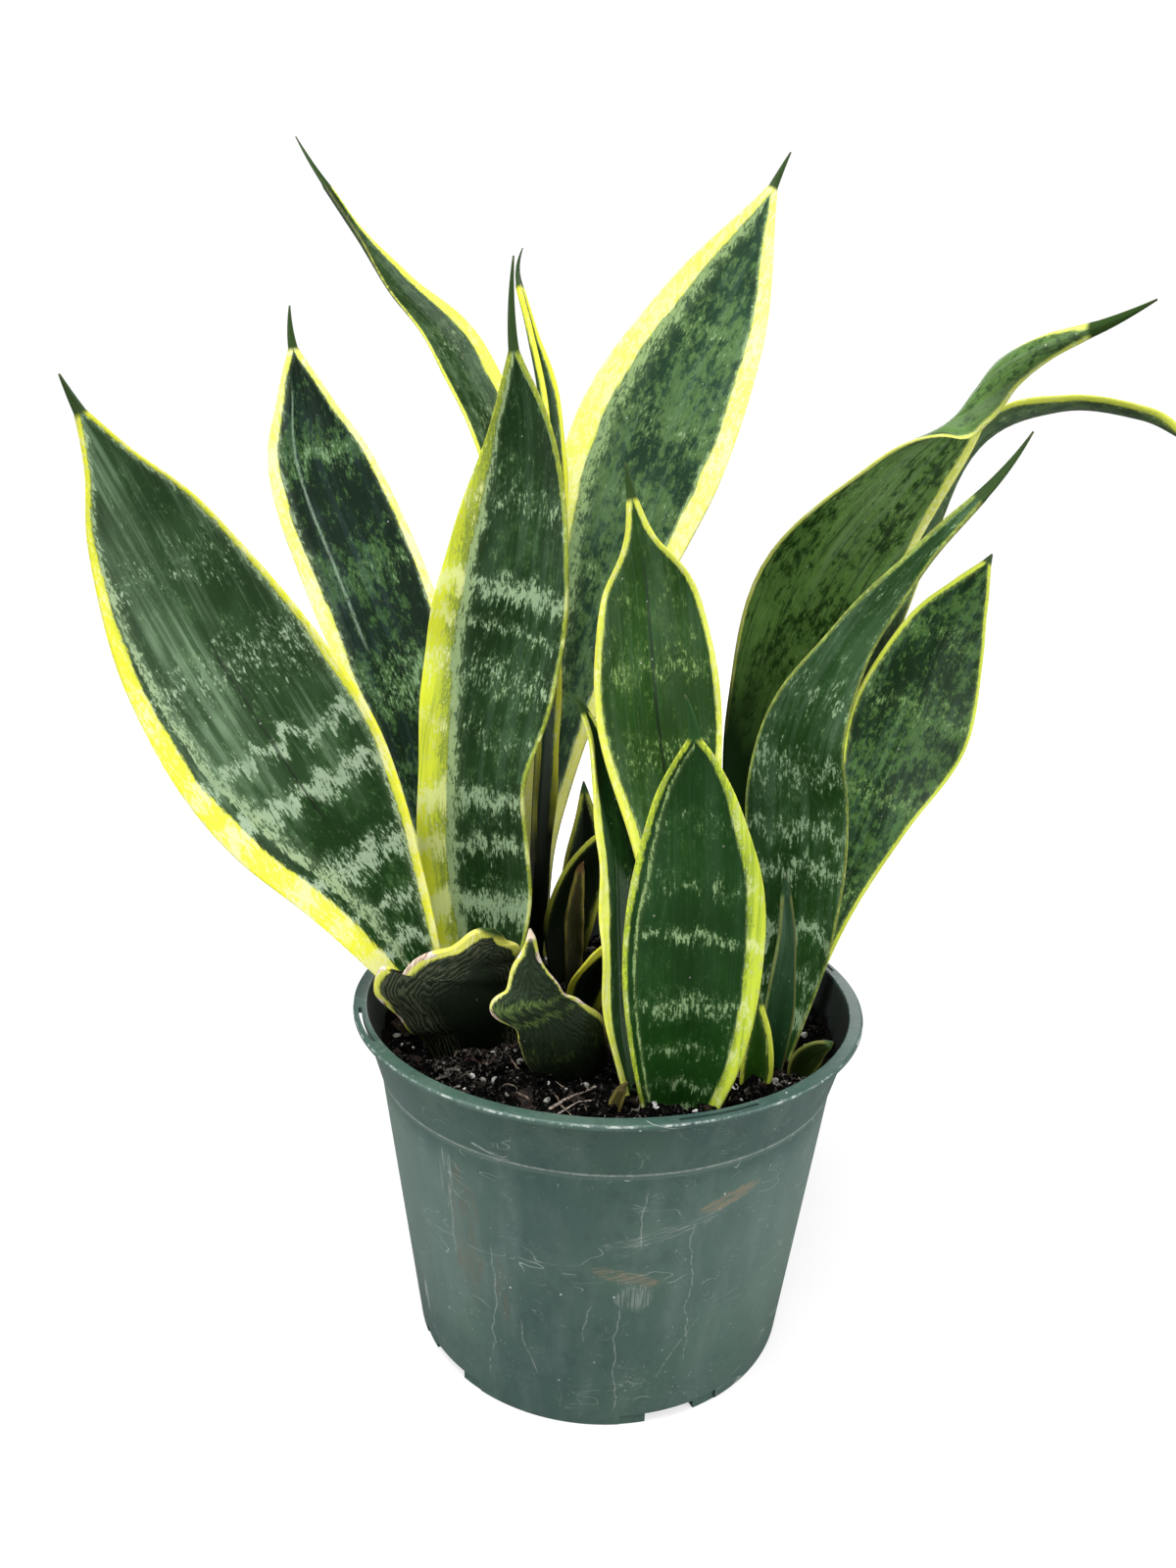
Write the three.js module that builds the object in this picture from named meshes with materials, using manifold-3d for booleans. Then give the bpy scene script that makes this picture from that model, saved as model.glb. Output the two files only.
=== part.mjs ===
// A striped snake plant with yellow leaf margins, in a round nursery pot.
// Millimetres, +Z up. The origin is on the table, under the middle of the pot's floor, and the
// side that the plant shows best is -Y. Each leaf, the soil and the pot are pieces of their own.
import * as THREE from "three";
import { mergeVertices } from "three/addons/utils/BufferGeometryUtils.js";
import Module from "manifold-3d";

const wasm = await Module();
wasm.setup();

// Pot: one thin-walled moulding, from its flange rim down to its floor.
const POT_HEIGHT = 142;
const RIM_RADIUS = 101.5;
const RIM_THICKNESS = 2.4;
const MOUTH_RADIUS = 96.3;
const BAND_TOP_RADIUS = 98.2;
const BAND_MIDDLE_RADIUS = 95.4;
const BAND_BOTTOM_RADIUS = 92.1;
const BAND_HEIGHT = 25;
const BODY_TOP_RADIUS = 90.3;
const BODY_FOOT_RADIUS = 77;
const FACETS = 48;
const WALL = 1.8;
const FLOOR = 2.6;
// Four narrow slots in the rim, where a wire hanger would clip in.
const HANGER_SLOTS = 4;
const HANGER_SLOT_RADIUS = 98.9;
const HANGER_SLOT_WIDTH = 1.3;
const HANGER_SLOT_ARC = 17;
const HANGER_SLOT_FIRST = 23;
// Five drain notches round the foot: a shallow pocket in the wall with a hole in its middle.
const DRAINS = 5;
const DRAIN_FIRST = 22;
const DRAIN_POCKET_ARC = 30;
const DRAIN_POCKET_DEPTH = 0.9;
const DRAIN_HOLE_ARC = 15;
const DRAIN_HEIGHT = 4.8;
const DRAIN_HOLE_REACH = 10;

// Soil: fills the pot to a little under the rim, heaped at the front and sunken at the left.
const GAP = 0.3;
const SOIL_LEVEL = 127;
const SOIL_RINGS = 10;
const CRUMB_HEIGHT = 1.1;
// Each mound or hollow: x, y, height, spread.
const SOIL_MOUNDS = [
  [-30, -48, 5, 20],
  [60, -54, 6, 14],
  [-82, -22, -8, 24],
  [74, 48, -5, 26],
  [12, -72, 2, 18],
];

// Leaves: a blade is thickest along its midrib and ends in a round green spike.
const MIDRIB_THICKNESS = 2.6;
const MARGIN_THICKNESS = 1;
const SPIKE_THICKNESS = 1;
const BURIED_LENGTH = 12;
const BLADE_CUTS = 4;
const STEPS_PER_SPAN = 2;
const SPIKE_STEPS = 3;

// Each row of a leaf, from the soil to the foot of its spike, is the place of the midrib
// (x, y, z), the width of the blade, the turn of its upper face from the front (degrees, to the
// right) and the curl of its margins (degrees from flat). A lopsided blade has a seventh figure,
// the share of its half width by which it lies off its midrib. `spike` is the spike's length,
// then how far its end bends in x, y and z.
const LEAVES = {
  leaf_far_left: {
    spike: [11, 0, 0, 1],
    rows: [
      [-65, -9, 126, 14, 20, 80],
      [-93, -8, 181, 47, 20, 45],
      [-119, -18, 232, 74, 20, 30],
      [-141, -32, 280, 68, 21, 27],
      [-156, -48, 324, 42, 23, 33],
      [-162, -59, 345, 17, 24, 40],
      [-166, -66, 358, 4, 25, 45],
    ],
  },
  leaf_back_left: {
    spike: [15, 2, 0, 1],
    rows: [
      [-66, 27, 125, 14, 12, 80],
      [-70, 34, 187, 28, 12, 45],
      [-82, 41, 242, 43, 12, 30],
      [-103, 50, 293, 51, 12, 27],
      [-125, 60, 343, 45, 12, 32],
      [-132, 61, 372, 22, 12, 40],
      [-135, 60, 390, 4, 12, 45],
    ],
  },
  leaf_arched_left: {
    spike: [24, 0, 0, 2],
    rows: [
      [-53, 54, 124, 14, 10, 80],
      [-55, 69, 196, 20, 14, 55],
      [-51, 83, 266, 25, 20, 40],
      [-48, 96, 334, 28, 27, 32],
      [-76, 112, 393, 27, 36, 42],
      [-104, 120, 422, 18, 45, 60],
      [-122, 124, 445, 8, 58, 70],
      [-136, 128, 464, 5, 68, 70],
    ],
  },
  leaf_centre_left: {
    spike: [30, 3, 2, 0],
    rows: [
      [-49, 11, 126, 28, -12, 70],
      [-52, 12, 177, 50, -12, 42],
      [-55, 8, 225, 46, -12, 26],
      [-48, 7, 268, 55, -12, 20],
      [-41, 3, 309, 50, -12, 23],
      [-36, -3, 352, 30, -12, 32],
      [-39, -10, 384, 4, -12, 45],
    ],
  },
  leaf_edge_on: {
    spike: [14, 5, 0, 1],
    rows: [
      [-36, 38, 126, 14, 60, 80],
      [-33, 42, 195, 18, 62, 68],
      [-31, 46, 255, 19, 64, 60],
      [-31, 52, 312, 21, 67, 60],
      [-33, 58, 366, 21, 71, 64],
      [-39, 60, 397, 9, 73, 68],
      [-44, 62, 415, 5, 75, 70],
    ],
  },
  leaf_tall: {
    spike: [13, 1, 0, 1],
    rows: [
      [-34, 67, 123, 15, -12, 80],
      [-32, 68, 184, 19, -11, 62],
      [-21, 72, 248, 34, -10, 43],
      [-6, 76, 304, 56, -8, 27],
      [11, 81, 356, 69, -6, 23],
      [36, 86, 410, 48, -5, 27],
      [57, 86, 458, 4, -4, 40],
    ],
  },
  leaf_middle: {
    spike: [12, 0, 0, 0],
    rows: [
      [30, -28, 126, 14, 8, 70],
      [27, -25, 174, 22, 8, 42],
      [22, -20, 217, 35, 8, 29],
      [15, -14, 259, 48, 8, 27],
      [10, -10, 301, 38, 8, 34],
      [6, -12, 322, 13, 8, 44],
      [3, -14, 336, 4, 8, 50],
    ],
  },
  leaf_front: {
    spike: [15, -2, 0, 0],
    rows: [
      [26, -61, 122, 26, 0, 45],
      [28, -65, 150, 40, -2, 29],
      [28, -71, 183, 47, -3, 18],
      [28, -76, 215, 44, -5, 17],
      [26, -80, 244, 29, -6, 23],
      [25, -83, 259, 15, -7, 30],
      [24, -86, 267, 4, -8, 35],
    ],
  },
  leaf_folded: {
    spike: [13, -4, 0, -5],
    rows: [
      [10, -55, 126, 14, 45, 70],
      [5, -45, 152, 24, 45, 45],
      [3, -34, 181, 28, 45, 40],
      [1, -24, 209, 26, 46, 42],
      [-5, -16, 234, 16, 49, 52],
      [-8, -12, 248, 9, 52, 57],
      [-12, -10, 258, 5, 55, 60],
    ],
  },
  leaf_big_right: {
    spike: [21, 0, 0, 2],
    rows: [
      [60, 45, 125, 16, 0, 70],
      [60, 45, 193, 30, 5, 45],
      [67, 41, 250, 50, 10, 32],
      [79, 35, 303, 60, 15, 28],
      [103, 26, 343, 44, 30, 35],
      [120, 18, 364, 33, 60, 45],
      [125, 8, 374, 26, 95, 60],
      [130, -4, 382, 18, 130, 65],
      [138, -18, 388, 11, 155, 65],
      [148, -31, 392, 5, 165, 60],
    ],
  },
  leaf_arched_right: {
    spike: [24, 0, 0, -5],
    rows: [
      [54, 57, 124, 16, 180, 70],
      [76, 60, 180, 24, 180, 50],
      [95, 61, 246, 32, 185, 42],
      [116, 60, 309, 30, 195, 42],
      [141, 56, 359, 26, 235, 45],
      [170, 47, 373, 19, 262, 40],
      [196, 35, 370, 13, 268, 45],
      [210, 25, 362, 5, 270, 50],
    ],
  },
  leaf_wavy_right: {
    spike: [24, -2, 0, 2],
    rows: [
      [67, -25, 126, 12, -20, 75],
      [70, -23, 173, 32, -20, 50],
      [68, -27, 218, 40, -21, 35],
      [66, -35, 257, 32, -22, 26],
      [78, -41, 290, 18, -27, 30],
      [97, -46, 319, 10, -36, 45],
      [113, -50, 339, 5, -48, 60],
    ],
  },
  leaf_far_right: {
    spike: [4, 0, 0, 0],
    rows: [
      [78, 15, 125, 12, -18, 80],
      [93, 22, 168, 15, -18, 52],
      [107, 32, 207, 32, -18, 33],
      [122, 46, 242, 51, -18, 25],
      [136, 59, 278, 38, -18, 28],
      [147, 64, 299, 19, -18, 35],
      [154, 66, 312, 4, -18, 40],
    ],
  },
  leaf_curled_rim: {
    spike: [2, 0, 0, 0],
    rows: [
      [-48, -27, 125, 42, 195, 28, -0.03],
      [-48, -29, 137, 48, 200, 26, 0.03],
      [-49, -31, 146, 54, 205, 25, 0.09],
      [-49, -32, 155, 63, 207, 24, 0.24],
      [-48, -33, 160, 57, 205, 24, 0.22],
      [-48, -33, 165, 47, 205, 26, 0.14],
      [-47, -34, 170, 32, 202, 28, -0.07],
      [-46, -34, 175, 22, 200, 30, -0.26],
      [-44, -34, 179, 10, 200, 30, -0.19],
    ],
  },
  leaf_scarred_stub: {
    spike: [3, 0, 0, 0],
    rows: [
      [-14, -50, 124, 22, 185, 32, -0.54],
      [-16, -53, 136, 31, 185, 30, -0.22],
      [-18, -56, 148, 33, 188, 28, -0.18],
      [-20, -57, 156, 27, 192, 26, -0.02],
      [-22, -58, 163, 29, 195, 26, 0.40],
      [-23, -58, 169, 20, 192, 26, 0.41],
      [-25, -58, 176, 13, 190, 26, 0.54],
      [-26, -58, 182, 7, 188, 28, 0.53],
      [-27, -58, 188, 3, 185, 30, 0.14],
    ],
  },
  leaf_inner_arch: {
    spike: [4, 0, 0, 0],
    rows: [
      [-20, 39, 124, 14, 20, 70],
      [-19, 37, 155, 24, 20, 40],
      [-13, 34, 177, 24, 20, 40],
      [-5, 30, 194, 15, 20, 45],
      [5, 27, 202, 4, 20, 50],
    ],
  },
  leaf_inner_curl: {
    spike: [4, 0, 0, 0],
    rows: [
      [-12, 10, 124, 14, 25, 70],
      [-9, 8, 140, 22, 25, 50],
      [-3, 5, 153, 18, 25, 50],
      [5, 2, 164, 4, 25, 50],
    ],
  },
  leaf_inner_dark: {
    spike: [5, 0, 0, 0],
    rows: [
      [-20, 66, 124, 14, 0, 70],
      [-15, 64, 150, 20, 0, 45],
      [-12, 62, 176, 20, 0, 40],
      [-12, 61, 196, 11, 0, 50],
      [-13, 60, 208, 4, 0, 50],
    ],
  },
  leaf_dried: {
    spike: [4, 1, 0, 0],
    rows: [
      [-15, 24, 124, 7, 10, 60],
      [-15, 23, 145, 9, 10, 60],
      [-15, 22, 165, 9, 10, 60],
      [-13, 21, 185, 4, 10, 60],
    ],
  },
  leaf_dried_small: {
    spike: [3, 1, 0, 0],
    rows: [
      [3, -68, 124, 4, 0, 40],
      [4, -68, 130, 5, 0, 40],
      [6, -68, 136, 4, 0, 40],
    ],
  },
  leaf_young_spike: {
    spike: [6, 0, 0, 0],
    rows: [
      [61, -38, 124, 10, 20, 70],
      [62, -38, 146, 14, 20, 60],
      [63, -38, 166, 13, 20, 55],
      [64, -38, 184, 8, 15, 60],
      [63, -38, 200, 4, 10, 60],
    ],
  },
  leaf_small_olive: {
    spike: [4, 0, 0, 0],
    rows: [
      [54, -50, 124, 10, 0, 50],
      [55, -50, 136, 13, 0, 45],
      [55, -50, 150, 10, 0, 45],
      [54, -50, 162, 4, 0, 45],
    ],
  },
  leaf_low_olive: {
    spike: [2, 0, 0, 0],
    rows: [
      [71, -41, 124, 7, 0, 60],
      [73, -42, 134, 11, 0, 40],
      [77, -43, 140, 10, 0, 30],
      [82, -43, 143, 4, 0, 30],
    ],
  },
};

const PLASTIC = new THREE.MeshStandardMaterial({ color: 0x3f5f56, roughness: 0.5, metalness: 0 });
const EARTH = new THREE.MeshStandardMaterial({ color: 0x2b211b, roughness: 0.95, metalness: 0 });
const LEAF_COLOURS = {
  leaf_dried: 0x8a7448,
  leaf_dried_small: 0x6b6636,
  leaf_low_olive: 0x5a6b35,
};

const radians = THREE.MathUtils.degToRad;

// The direction that lies `degrees` round the pot from the front, turning to the right.
function bearing(degrees) {
  return new THREE.Vector2(Math.sin(radians(degrees)), -Math.cos(radians(degrees)));
}

// A closed mesh as a solid that can be cut, and a solid as a mesh again.
function solid(geometry) {
  const bare = geometry.index ? geometry.clone() : geometry;
  bare.deleteAttribute("normal");
  bare.deleteAttribute("uv");
  const merged = mergeVertices(bare, 1e-3);
  return new wasm.Manifold(
    new wasm.Mesh({
      numProp: 3,
      vertProperties: merged.attributes.position.array,
      triVerts: new Uint32Array(merged.index.array),
    }),
  );
}

function surface(cut) {
  const mesh = cut.getMesh();
  const geometry = new THREE.BufferGeometry();
  geometry.setAttribute("position", new THREE.BufferAttribute(mesh.vertProperties, 3));
  geometry.setIndex(new THREE.BufferAttribute(mesh.triVerts, 1));
  return geometry;
}

function named(name, geometry, material) {
  const mesh = new THREE.Mesh(geometry, material);
  mesh.name = name;
  return mesh;
}

// A block bent round the pot: `arc` degrees long about the bearing `middle`, between two radii
// and two heights.
function bentBlock(middle, arc, inner, outer, low, high) {
  const from = radians(middle - 90 - arc / 2);
  const to = radians(middle - 90 + arc / 2);
  const outline = new THREE.Shape();
  outline.absarc(0, 0, outer, from, to, false);
  outline.absarc(0, 0, inner, to, from, true);
  outline.closePath();
  const block = new THREE.ExtrudeGeometry(outline, {
    depth: high - low,
    bevelEnabled: false,
    curveSegments: 6,
  });
  return solid(block.translate(0, 0, low));
}

function potWall() {
  const profile = [
    [0, 0],
    [BODY_FOOT_RADIUS - 1, 0],
    [BODY_FOOT_RADIUS, 1],
    [BODY_TOP_RADIUS, POT_HEIGHT - BAND_HEIGHT - 1.5],
    [BAND_BOTTOM_RADIUS, POT_HEIGHT - BAND_HEIGHT],
    [BAND_MIDDLE_RADIUS, POT_HEIGHT - BAND_HEIGHT / 2],
    [BAND_TOP_RADIUS, POT_HEIGHT - RIM_THICKNESS],
    [RIM_RADIUS - 0.5, POT_HEIGHT - RIM_THICKNESS],
    [RIM_RADIUS, POT_HEIGHT - RIM_THICKNESS + 0.5],
    [RIM_RADIUS, POT_HEIGHT - 0.5],
    [RIM_RADIUS - 0.5, POT_HEIGHT],
    [MOUTH_RADIUS, POT_HEIGHT],
    [BAND_MIDDLE_RADIUS - WALL, POT_HEIGHT - BAND_HEIGHT / 2],
    [BAND_BOTTOM_RADIUS - WALL, POT_HEIGHT - BAND_HEIGHT],
    [BODY_TOP_RADIUS - WALL, POT_HEIGHT - BAND_HEIGHT - 1.5],
    [BODY_FOOT_RADIUS - WALL, FLOOR],
    [0, FLOOR],
  ].map(([radius, height]) => new THREE.Vector2(radius, height));
  const turned = new THREE.LatheGeometry(profile, FACETS);
  return solid(turned.rotateX(Math.PI / 2));
}

function hangerSlot(index) {
  return bentBlock(
    HANGER_SLOT_FIRST + (index * 360) / HANGER_SLOTS,
    HANGER_SLOT_ARC,
    HANGER_SLOT_RADIUS - HANGER_SLOT_WIDTH / 2,
    HANGER_SLOT_RADIUS + HANGER_SLOT_WIDTH / 2,
    POT_HEIGHT - RIM_THICKNESS - 1,
    POT_HEIGHT + 1,
  );
}

function drainNotch(index) {
  const middle = DRAIN_FIRST + (index * 360) / DRAINS;
  const face = BODY_FOOT_RADIUS - DRAIN_POCKET_DEPTH;
  const beyond = BODY_FOOT_RADIUS + 5;
  const pocket = bentBlock(middle, DRAIN_POCKET_ARC, face, beyond, -1, DRAIN_HEIGHT);
  const inner = BODY_FOOT_RADIUS - DRAIN_HOLE_REACH;
  return pocket.add(bentBlock(middle, DRAIN_HOLE_ARC, inner, beyond, -1, DRAIN_HEIGHT));
}

function pot() {
  let cut = potWall();
  for (let index = 0; index < HANGER_SLOTS; index += 1) cut = cut.subtract(hangerSlot(index));
  for (let index = 0; index < DRAINS; index += 1) cut = cut.subtract(drainNotch(index));
  return surface(cut);
}

// The value of every column of a leaf's rows at `along`, from 0 at the soil to 1 at the spike,
// on a smooth curve through the rows.
function between(rows, along) {
  const last = rows.length - 1;
  const place = Math.min(Math.max(along, 0), 1) * last;
  const span = Math.min(Math.floor(place), last - 1);
  const e = place - span;
  return rows[0].map((_, column) => {
    const b = rows[span][column];
    const c = rows[span + 1][column];
    const a = span > 0 ? rows[span - 1][column] : 2 * b - c;
    const d = span + 2 <= last ? rows[span + 2][column] : 2 * c - b;
    return (
      0.5 * (2 * b + (c - a) * e + (2 * a - 5 * b + 4 * c - d) * e * e + (3 * b - a - 3 * c + d) * e ** 3)
    );
  });
}

// The stations of a leaf: place, direction, width, turn, curl and thickness, from its buried
// end to the point of its spike.
function stations(leaf, grow) {
  const steps = (leaf.rows.length - 1) * STEPS_PER_SPAN;
  const list = [];
  for (let step = 0; step <= steps; step += 1) {
    const [x, y, z, width, turn, curl, skew = 0] = between(leaf.rows, step / steps);
    const next = between(leaf.rows, Math.min((step + 0.2) / steps, 1));
    const before = between(leaf.rows, Math.max((step - 0.2) / steps, 0));
    const place = new THREE.Vector3(x, y, z);
    const direction = new THREE.Vector3(next[0] - before[0], next[1] - before[1], next[2] - before[2]);
    direction.normalize();
    list.push({ place, direction, width, turn, curl, skew, thickness: MIDRIB_THICKNESS });
  }
  const first = list[0];
  const buried = first.place.clone().addScaledVector(first.direction, -BURIED_LENGTH - grow);
  const end = list[list.length - 1];
  const [length, ...bend] = leaf.spike;
  for (let step = 1; step <= SPIKE_STEPS; step += 1) {
    const share = step / SPIKE_STEPS;
    const place = end.place.clone().addScaledVector(end.direction, length * share);
    place.addScaledVector(new THREE.Vector3(...bend), share * share);
    list.push({
      place,
      direction: end.direction,
      width: THREE.MathUtils.lerp(end.width, SPIKE_THICKNESS, share),
      turn: end.turn,
      curl: end.curl * (1 - share),
      skew: end.skew,
      thickness: THREE.MathUtils.lerp(MIDRIB_THICKNESS * 0.7, SPIKE_THICKNESS, share),
    });
  }
  return [{ ...first, place: buried }, ...list];
}

// A cut across the blade at one station: points from the left margin to the right one on a
// round trough, each with the direction out of the upper face and half the thickness there.
function bladeCut(station, grow) {
  const { place, direction, width, turn, curl, skew, thickness } = station;
  const front = new THREE.Vector3(0, -1, 0).addScaledVector(direction, direction.y).normalize();
  const face = front.clone().applyAxisAngle(direction, radians(turn));
  const side = new THREE.Vector3().crossVectors(direction, face);
  const bend = radians(Math.max(curl, 2));
  const radius = Math.max(width, SPIKE_THICKNESS) / 2 / bend;
  const reach = (bend * (radius + grow / bend)) / radius;
  const points = [];
  for (let cut = 0; cut <= BLADE_CUTS; cut += 1) {
    const share = (2 * cut) / BLADE_CUTS - 1;
    const angle = share * reach + skew * bend;
    const point = place
      .clone()
      .addScaledVector(side, radius * Math.sin(angle))
      .addScaledVector(face, radius * (1 - Math.cos(angle)));
    const out = face.clone().multiplyScalar(Math.cos(angle)).addScaledVector(side, -Math.sin(angle));
    const margin = Math.min(MARGIN_THICKNESS, thickness);
    points.push({ point, out, half: THREE.MathUtils.lerp(thickness, margin, share * share) / 2 + grow });
  }
  return points;
}

// A blade as a closed sheet: the upper and the lower face are split into the same triangles,
// and a narrow wall joins them all round. `grow` makes it larger on every side.
function blade(leaf, grow = 0) {
  const cuts = stations(leaf, grow).map((station) => bladeCut(station, grow));
  const across = BLADE_CUTS + 1;
  const faceSize = cuts.length * across;
  const positions = [];
  for (const sign of [1, -1]) {
    for (const cut of cuts) {
      for (const { point, out, half } of cut) {
        positions.push(...point.clone().addScaledVector(out, sign * half).toArray());
      }
    }
  }
  const index = [];
  for (let row = 0; row < cuts.length - 1; row += 1) {
    for (let cut = 0; cut < BLADE_CUTS; cut += 1) {
      const a = row * across + cut;
      const b = a + 1;
      const c = a + across + 1;
      const d = a + across;
      index.push(a, b, c, a, c, d);
      index.push(faceSize + a, faceSize + c, faceSize + b, faceSize + a, faceSize + d, faceSize + c);
    }
  }
  const wall = (a, b) => index.push(b, a, faceSize + a, b, faceSize + a, faceSize + b);
  const top = (cuts.length - 1) * across;
  for (let cut = 0; cut < BLADE_CUTS; cut += 1) {
    wall(cut, cut + 1);
    wall(top + cut + 1, top + cut);
  }
  for (let row = 0; row < cuts.length - 1; row += 1) {
    wall((row + 1) * across, row * across);
    wall(row * across + BLADE_CUTS, (row + 1) * across + BLADE_CUTS);
  }
  const geometry = new THREE.BufferGeometry();
  geometry.setAttribute("position", new THREE.Float32BufferAttribute(positions, 3));
  geometry.setIndex(index);
  return geometry;
}

// Height of the soil at a place: its level, its mounds and hollows, and crumbs by a formula.
function soilHeight(x, y) {
  let height = SOIL_LEVEL;
  for (const [mx, my, rise, spread] of SOIL_MOUNDS) {
    height += rise * Math.exp(-((x - mx) ** 2 + (y - my) ** 2) / spread ** 2);
  }
  const crumbs = Math.sin(0.31 * x + 1.7) * Math.cos(0.27 * y) + Math.sin(0.53 * y - 0.19 * x);
  return height + CRUMB_HEIGHT * crumbs;
}

function soilWithoutHoles() {
  const wallTop = BAND_MIDDLE_RADIUS - WALL - GAP;
  const bandInner = BAND_BOTTOM_RADIUS - WALL - GAP;
  const shoulder = BODY_TOP_RADIUS - WALL - GAP;
  const foot = BODY_FOOT_RADIUS - WALL - GAP;
  const positions = [0, 0, soilHeight(0, 0)];
  const ring = (radius, height) => {
    for (let sector = 0; sector < FACETS; sector += 1) {
      const toward = bearing((sector * 360) / FACETS);
      const x = radius * toward.x;
      const y = radius * toward.y;
      positions.push(x, y, height(x, y));
    }
  };
  const rimRadius = (height) => {
    const share = (height - (POT_HEIGHT - BAND_HEIGHT)) / (BAND_HEIGHT / 2);
    return THREE.MathUtils.lerp(bandInner, wallTop, THREE.MathUtils.clamp(share, 0, 1));
  };
  for (let number = 1; number < SOIL_RINGS; number += 1) {
    ring((number / SOIL_RINGS) * bandInner, soilHeight);
  }
  for (let sector = 0; sector < FACETS; sector += 1) {
    const toward = bearing((sector * 360) / FACETS);
    const height = soilHeight(bandInner * toward.x, bandInner * toward.y);
    const radius = rimRadius(height);
    positions.push(radius * toward.x, radius * toward.y, height);
  }
  ring(bandInner - 0.1, () => POT_HEIGHT - BAND_HEIGHT);
  ring(shoulder, () => POT_HEIGHT - BAND_HEIGHT - 1.5);
  ring(foot, () => DRAIN_HEIGHT + GAP);
  ring(foot - DRAIN_HOLE_REACH - 2, () => DRAIN_HEIGHT + GAP);
  ring(foot - DRAIN_HOLE_REACH - 2, () => FLOOR + GAP);
  const rings = SOIL_RINGS + 5;
  const bottom = positions.length / 3;
  positions.push(0, 0, FLOOR + GAP);
  const index = [];
  for (let sector = 0; sector < FACETS; sector += 1) {
    const next = (sector + 1) % FACETS;
    index.push(0, 1 + sector, 1 + next);
    for (let number = 0; number < rings - 1; number += 1) {
      const a = 1 + number * FACETS;
      const b = a + FACETS;
      index.push(a + sector, b + sector, b + next, a + sector, b + next, a + next);
    }
    const last = 1 + (rings - 1) * FACETS;
    index.push(bottom, last + next, last + sector);
  }
  const geometry = new THREE.BufferGeometry();
  geometry.setAttribute("position", new THREE.Float32BufferAttribute(positions, 3));
  geometry.setIndex(index);
  return solid(geometry);
}

// The soil with a plain hole, a gap wider than the blade, for each leaf that stands in it.
function soil() {
  let cut = soilWithoutHoles();
  for (const leaf of Object.values(LEAVES)) cut = cut.subtract(solid(blade(leaf, GAP)));
  const bodies = cut.decompose();
  bodies.sort((a, b) => b.volume() - a.volume());
  return surface(bodies[0]);
}

function leafMaterial(name) {
  const color = LEAF_COLOURS[name] ?? 0x3c6b38;
  return new THREE.MeshStandardMaterial({ color, roughness: 0.4, metalness: 0 });
}

const plant = new THREE.Group();
plant.add(named("pot", pot(), PLASTIC));
plant.add(named("soil", soil(), EARTH));
for (const [name, leaf] of Object.entries(LEAVES)) {
  plant.add(named(name, blade(leaf), leafMaterial(name)));
}

export default plant;
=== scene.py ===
"""A striped snake plant with yellow leaf margins, potted in a round nursery pot."""
import math
from types import SimpleNamespace

import bpy
import numpy as np
from mathutils import Euler, Matrix, Vector


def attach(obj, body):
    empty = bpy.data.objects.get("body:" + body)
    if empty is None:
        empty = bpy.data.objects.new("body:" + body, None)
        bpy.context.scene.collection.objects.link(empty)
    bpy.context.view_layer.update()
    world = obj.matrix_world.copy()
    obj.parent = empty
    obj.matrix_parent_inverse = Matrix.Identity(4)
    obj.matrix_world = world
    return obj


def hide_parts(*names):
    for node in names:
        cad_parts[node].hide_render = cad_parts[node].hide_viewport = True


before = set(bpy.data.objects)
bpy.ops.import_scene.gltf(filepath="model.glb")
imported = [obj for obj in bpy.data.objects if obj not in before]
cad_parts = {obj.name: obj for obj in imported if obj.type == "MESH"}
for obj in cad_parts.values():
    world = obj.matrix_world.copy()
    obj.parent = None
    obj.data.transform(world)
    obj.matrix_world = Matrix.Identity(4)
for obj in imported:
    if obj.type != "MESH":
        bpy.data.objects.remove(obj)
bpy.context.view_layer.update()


# Pot: a thin-walled nursery pot of dark grey-green polypropylene, moulded in one piece: a
# flange rim with four hanger slots, a flared band and a tapered wall with five drain notches.
# Handling has scuffed it with fine pale marks.
MM = 0.001
POT_HEIGHT = 142
RIM_RADIUS = 101.5
RIM_UNDERSIDE = 139.6
BAND_FOOT = 117
WALL_RADIUS = 90
FLOOR_TOP = 2.6
POT_SIDES = 240
LONGEST_RUN = 6
SHARPEST_BEND = 32
# Outline of the wall, from under the floor, up outside, over the rim and down inside. Each
# corner has its radius, its height and how round it is.
POT_OUTLINE = (
    (76.2, 0, 0), (76.8, 0.5, 0.4), (91.3, 115.1, 0.8), (92.1, 117.2, 0.3), (95.4, 129.5, 3),
    (98.2, RIM_UNDERSIDE, 0.5), (101, RIM_UNDERSIDE, 0.3), (RIM_RADIUS, 140.1, 0.2),
    (RIM_RADIUS, 141.4, 0.5), (100.9, POT_HEIGHT, 0.5), (96.3, POT_HEIGHT, 0.5),
    (93.6, 129.5, 3), (90.3, BAND_FOOT, 0.5), (88.5, 115.5, 1), (75.2, FLOOR_TOP, 1.5),
)
# What is cut out of the wall: how many, the first one's bearing and the arc of each (degrees),
# and between which radii and heights (mm).
HANGER_SLOTS = dict(count=4, first=23, arc=17, inner=98.25, outer=99.55, low=138.6, high=143)
DRAIN_POCKETS = dict(count=5, first=22, arc=30, inner=76.1, outer=82, low=-1, high=4.8)
DRAIN_HOLES = dict(count=5, first=22, arc=15, inner=67, outer=82, low=-1, high=4.8)
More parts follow.
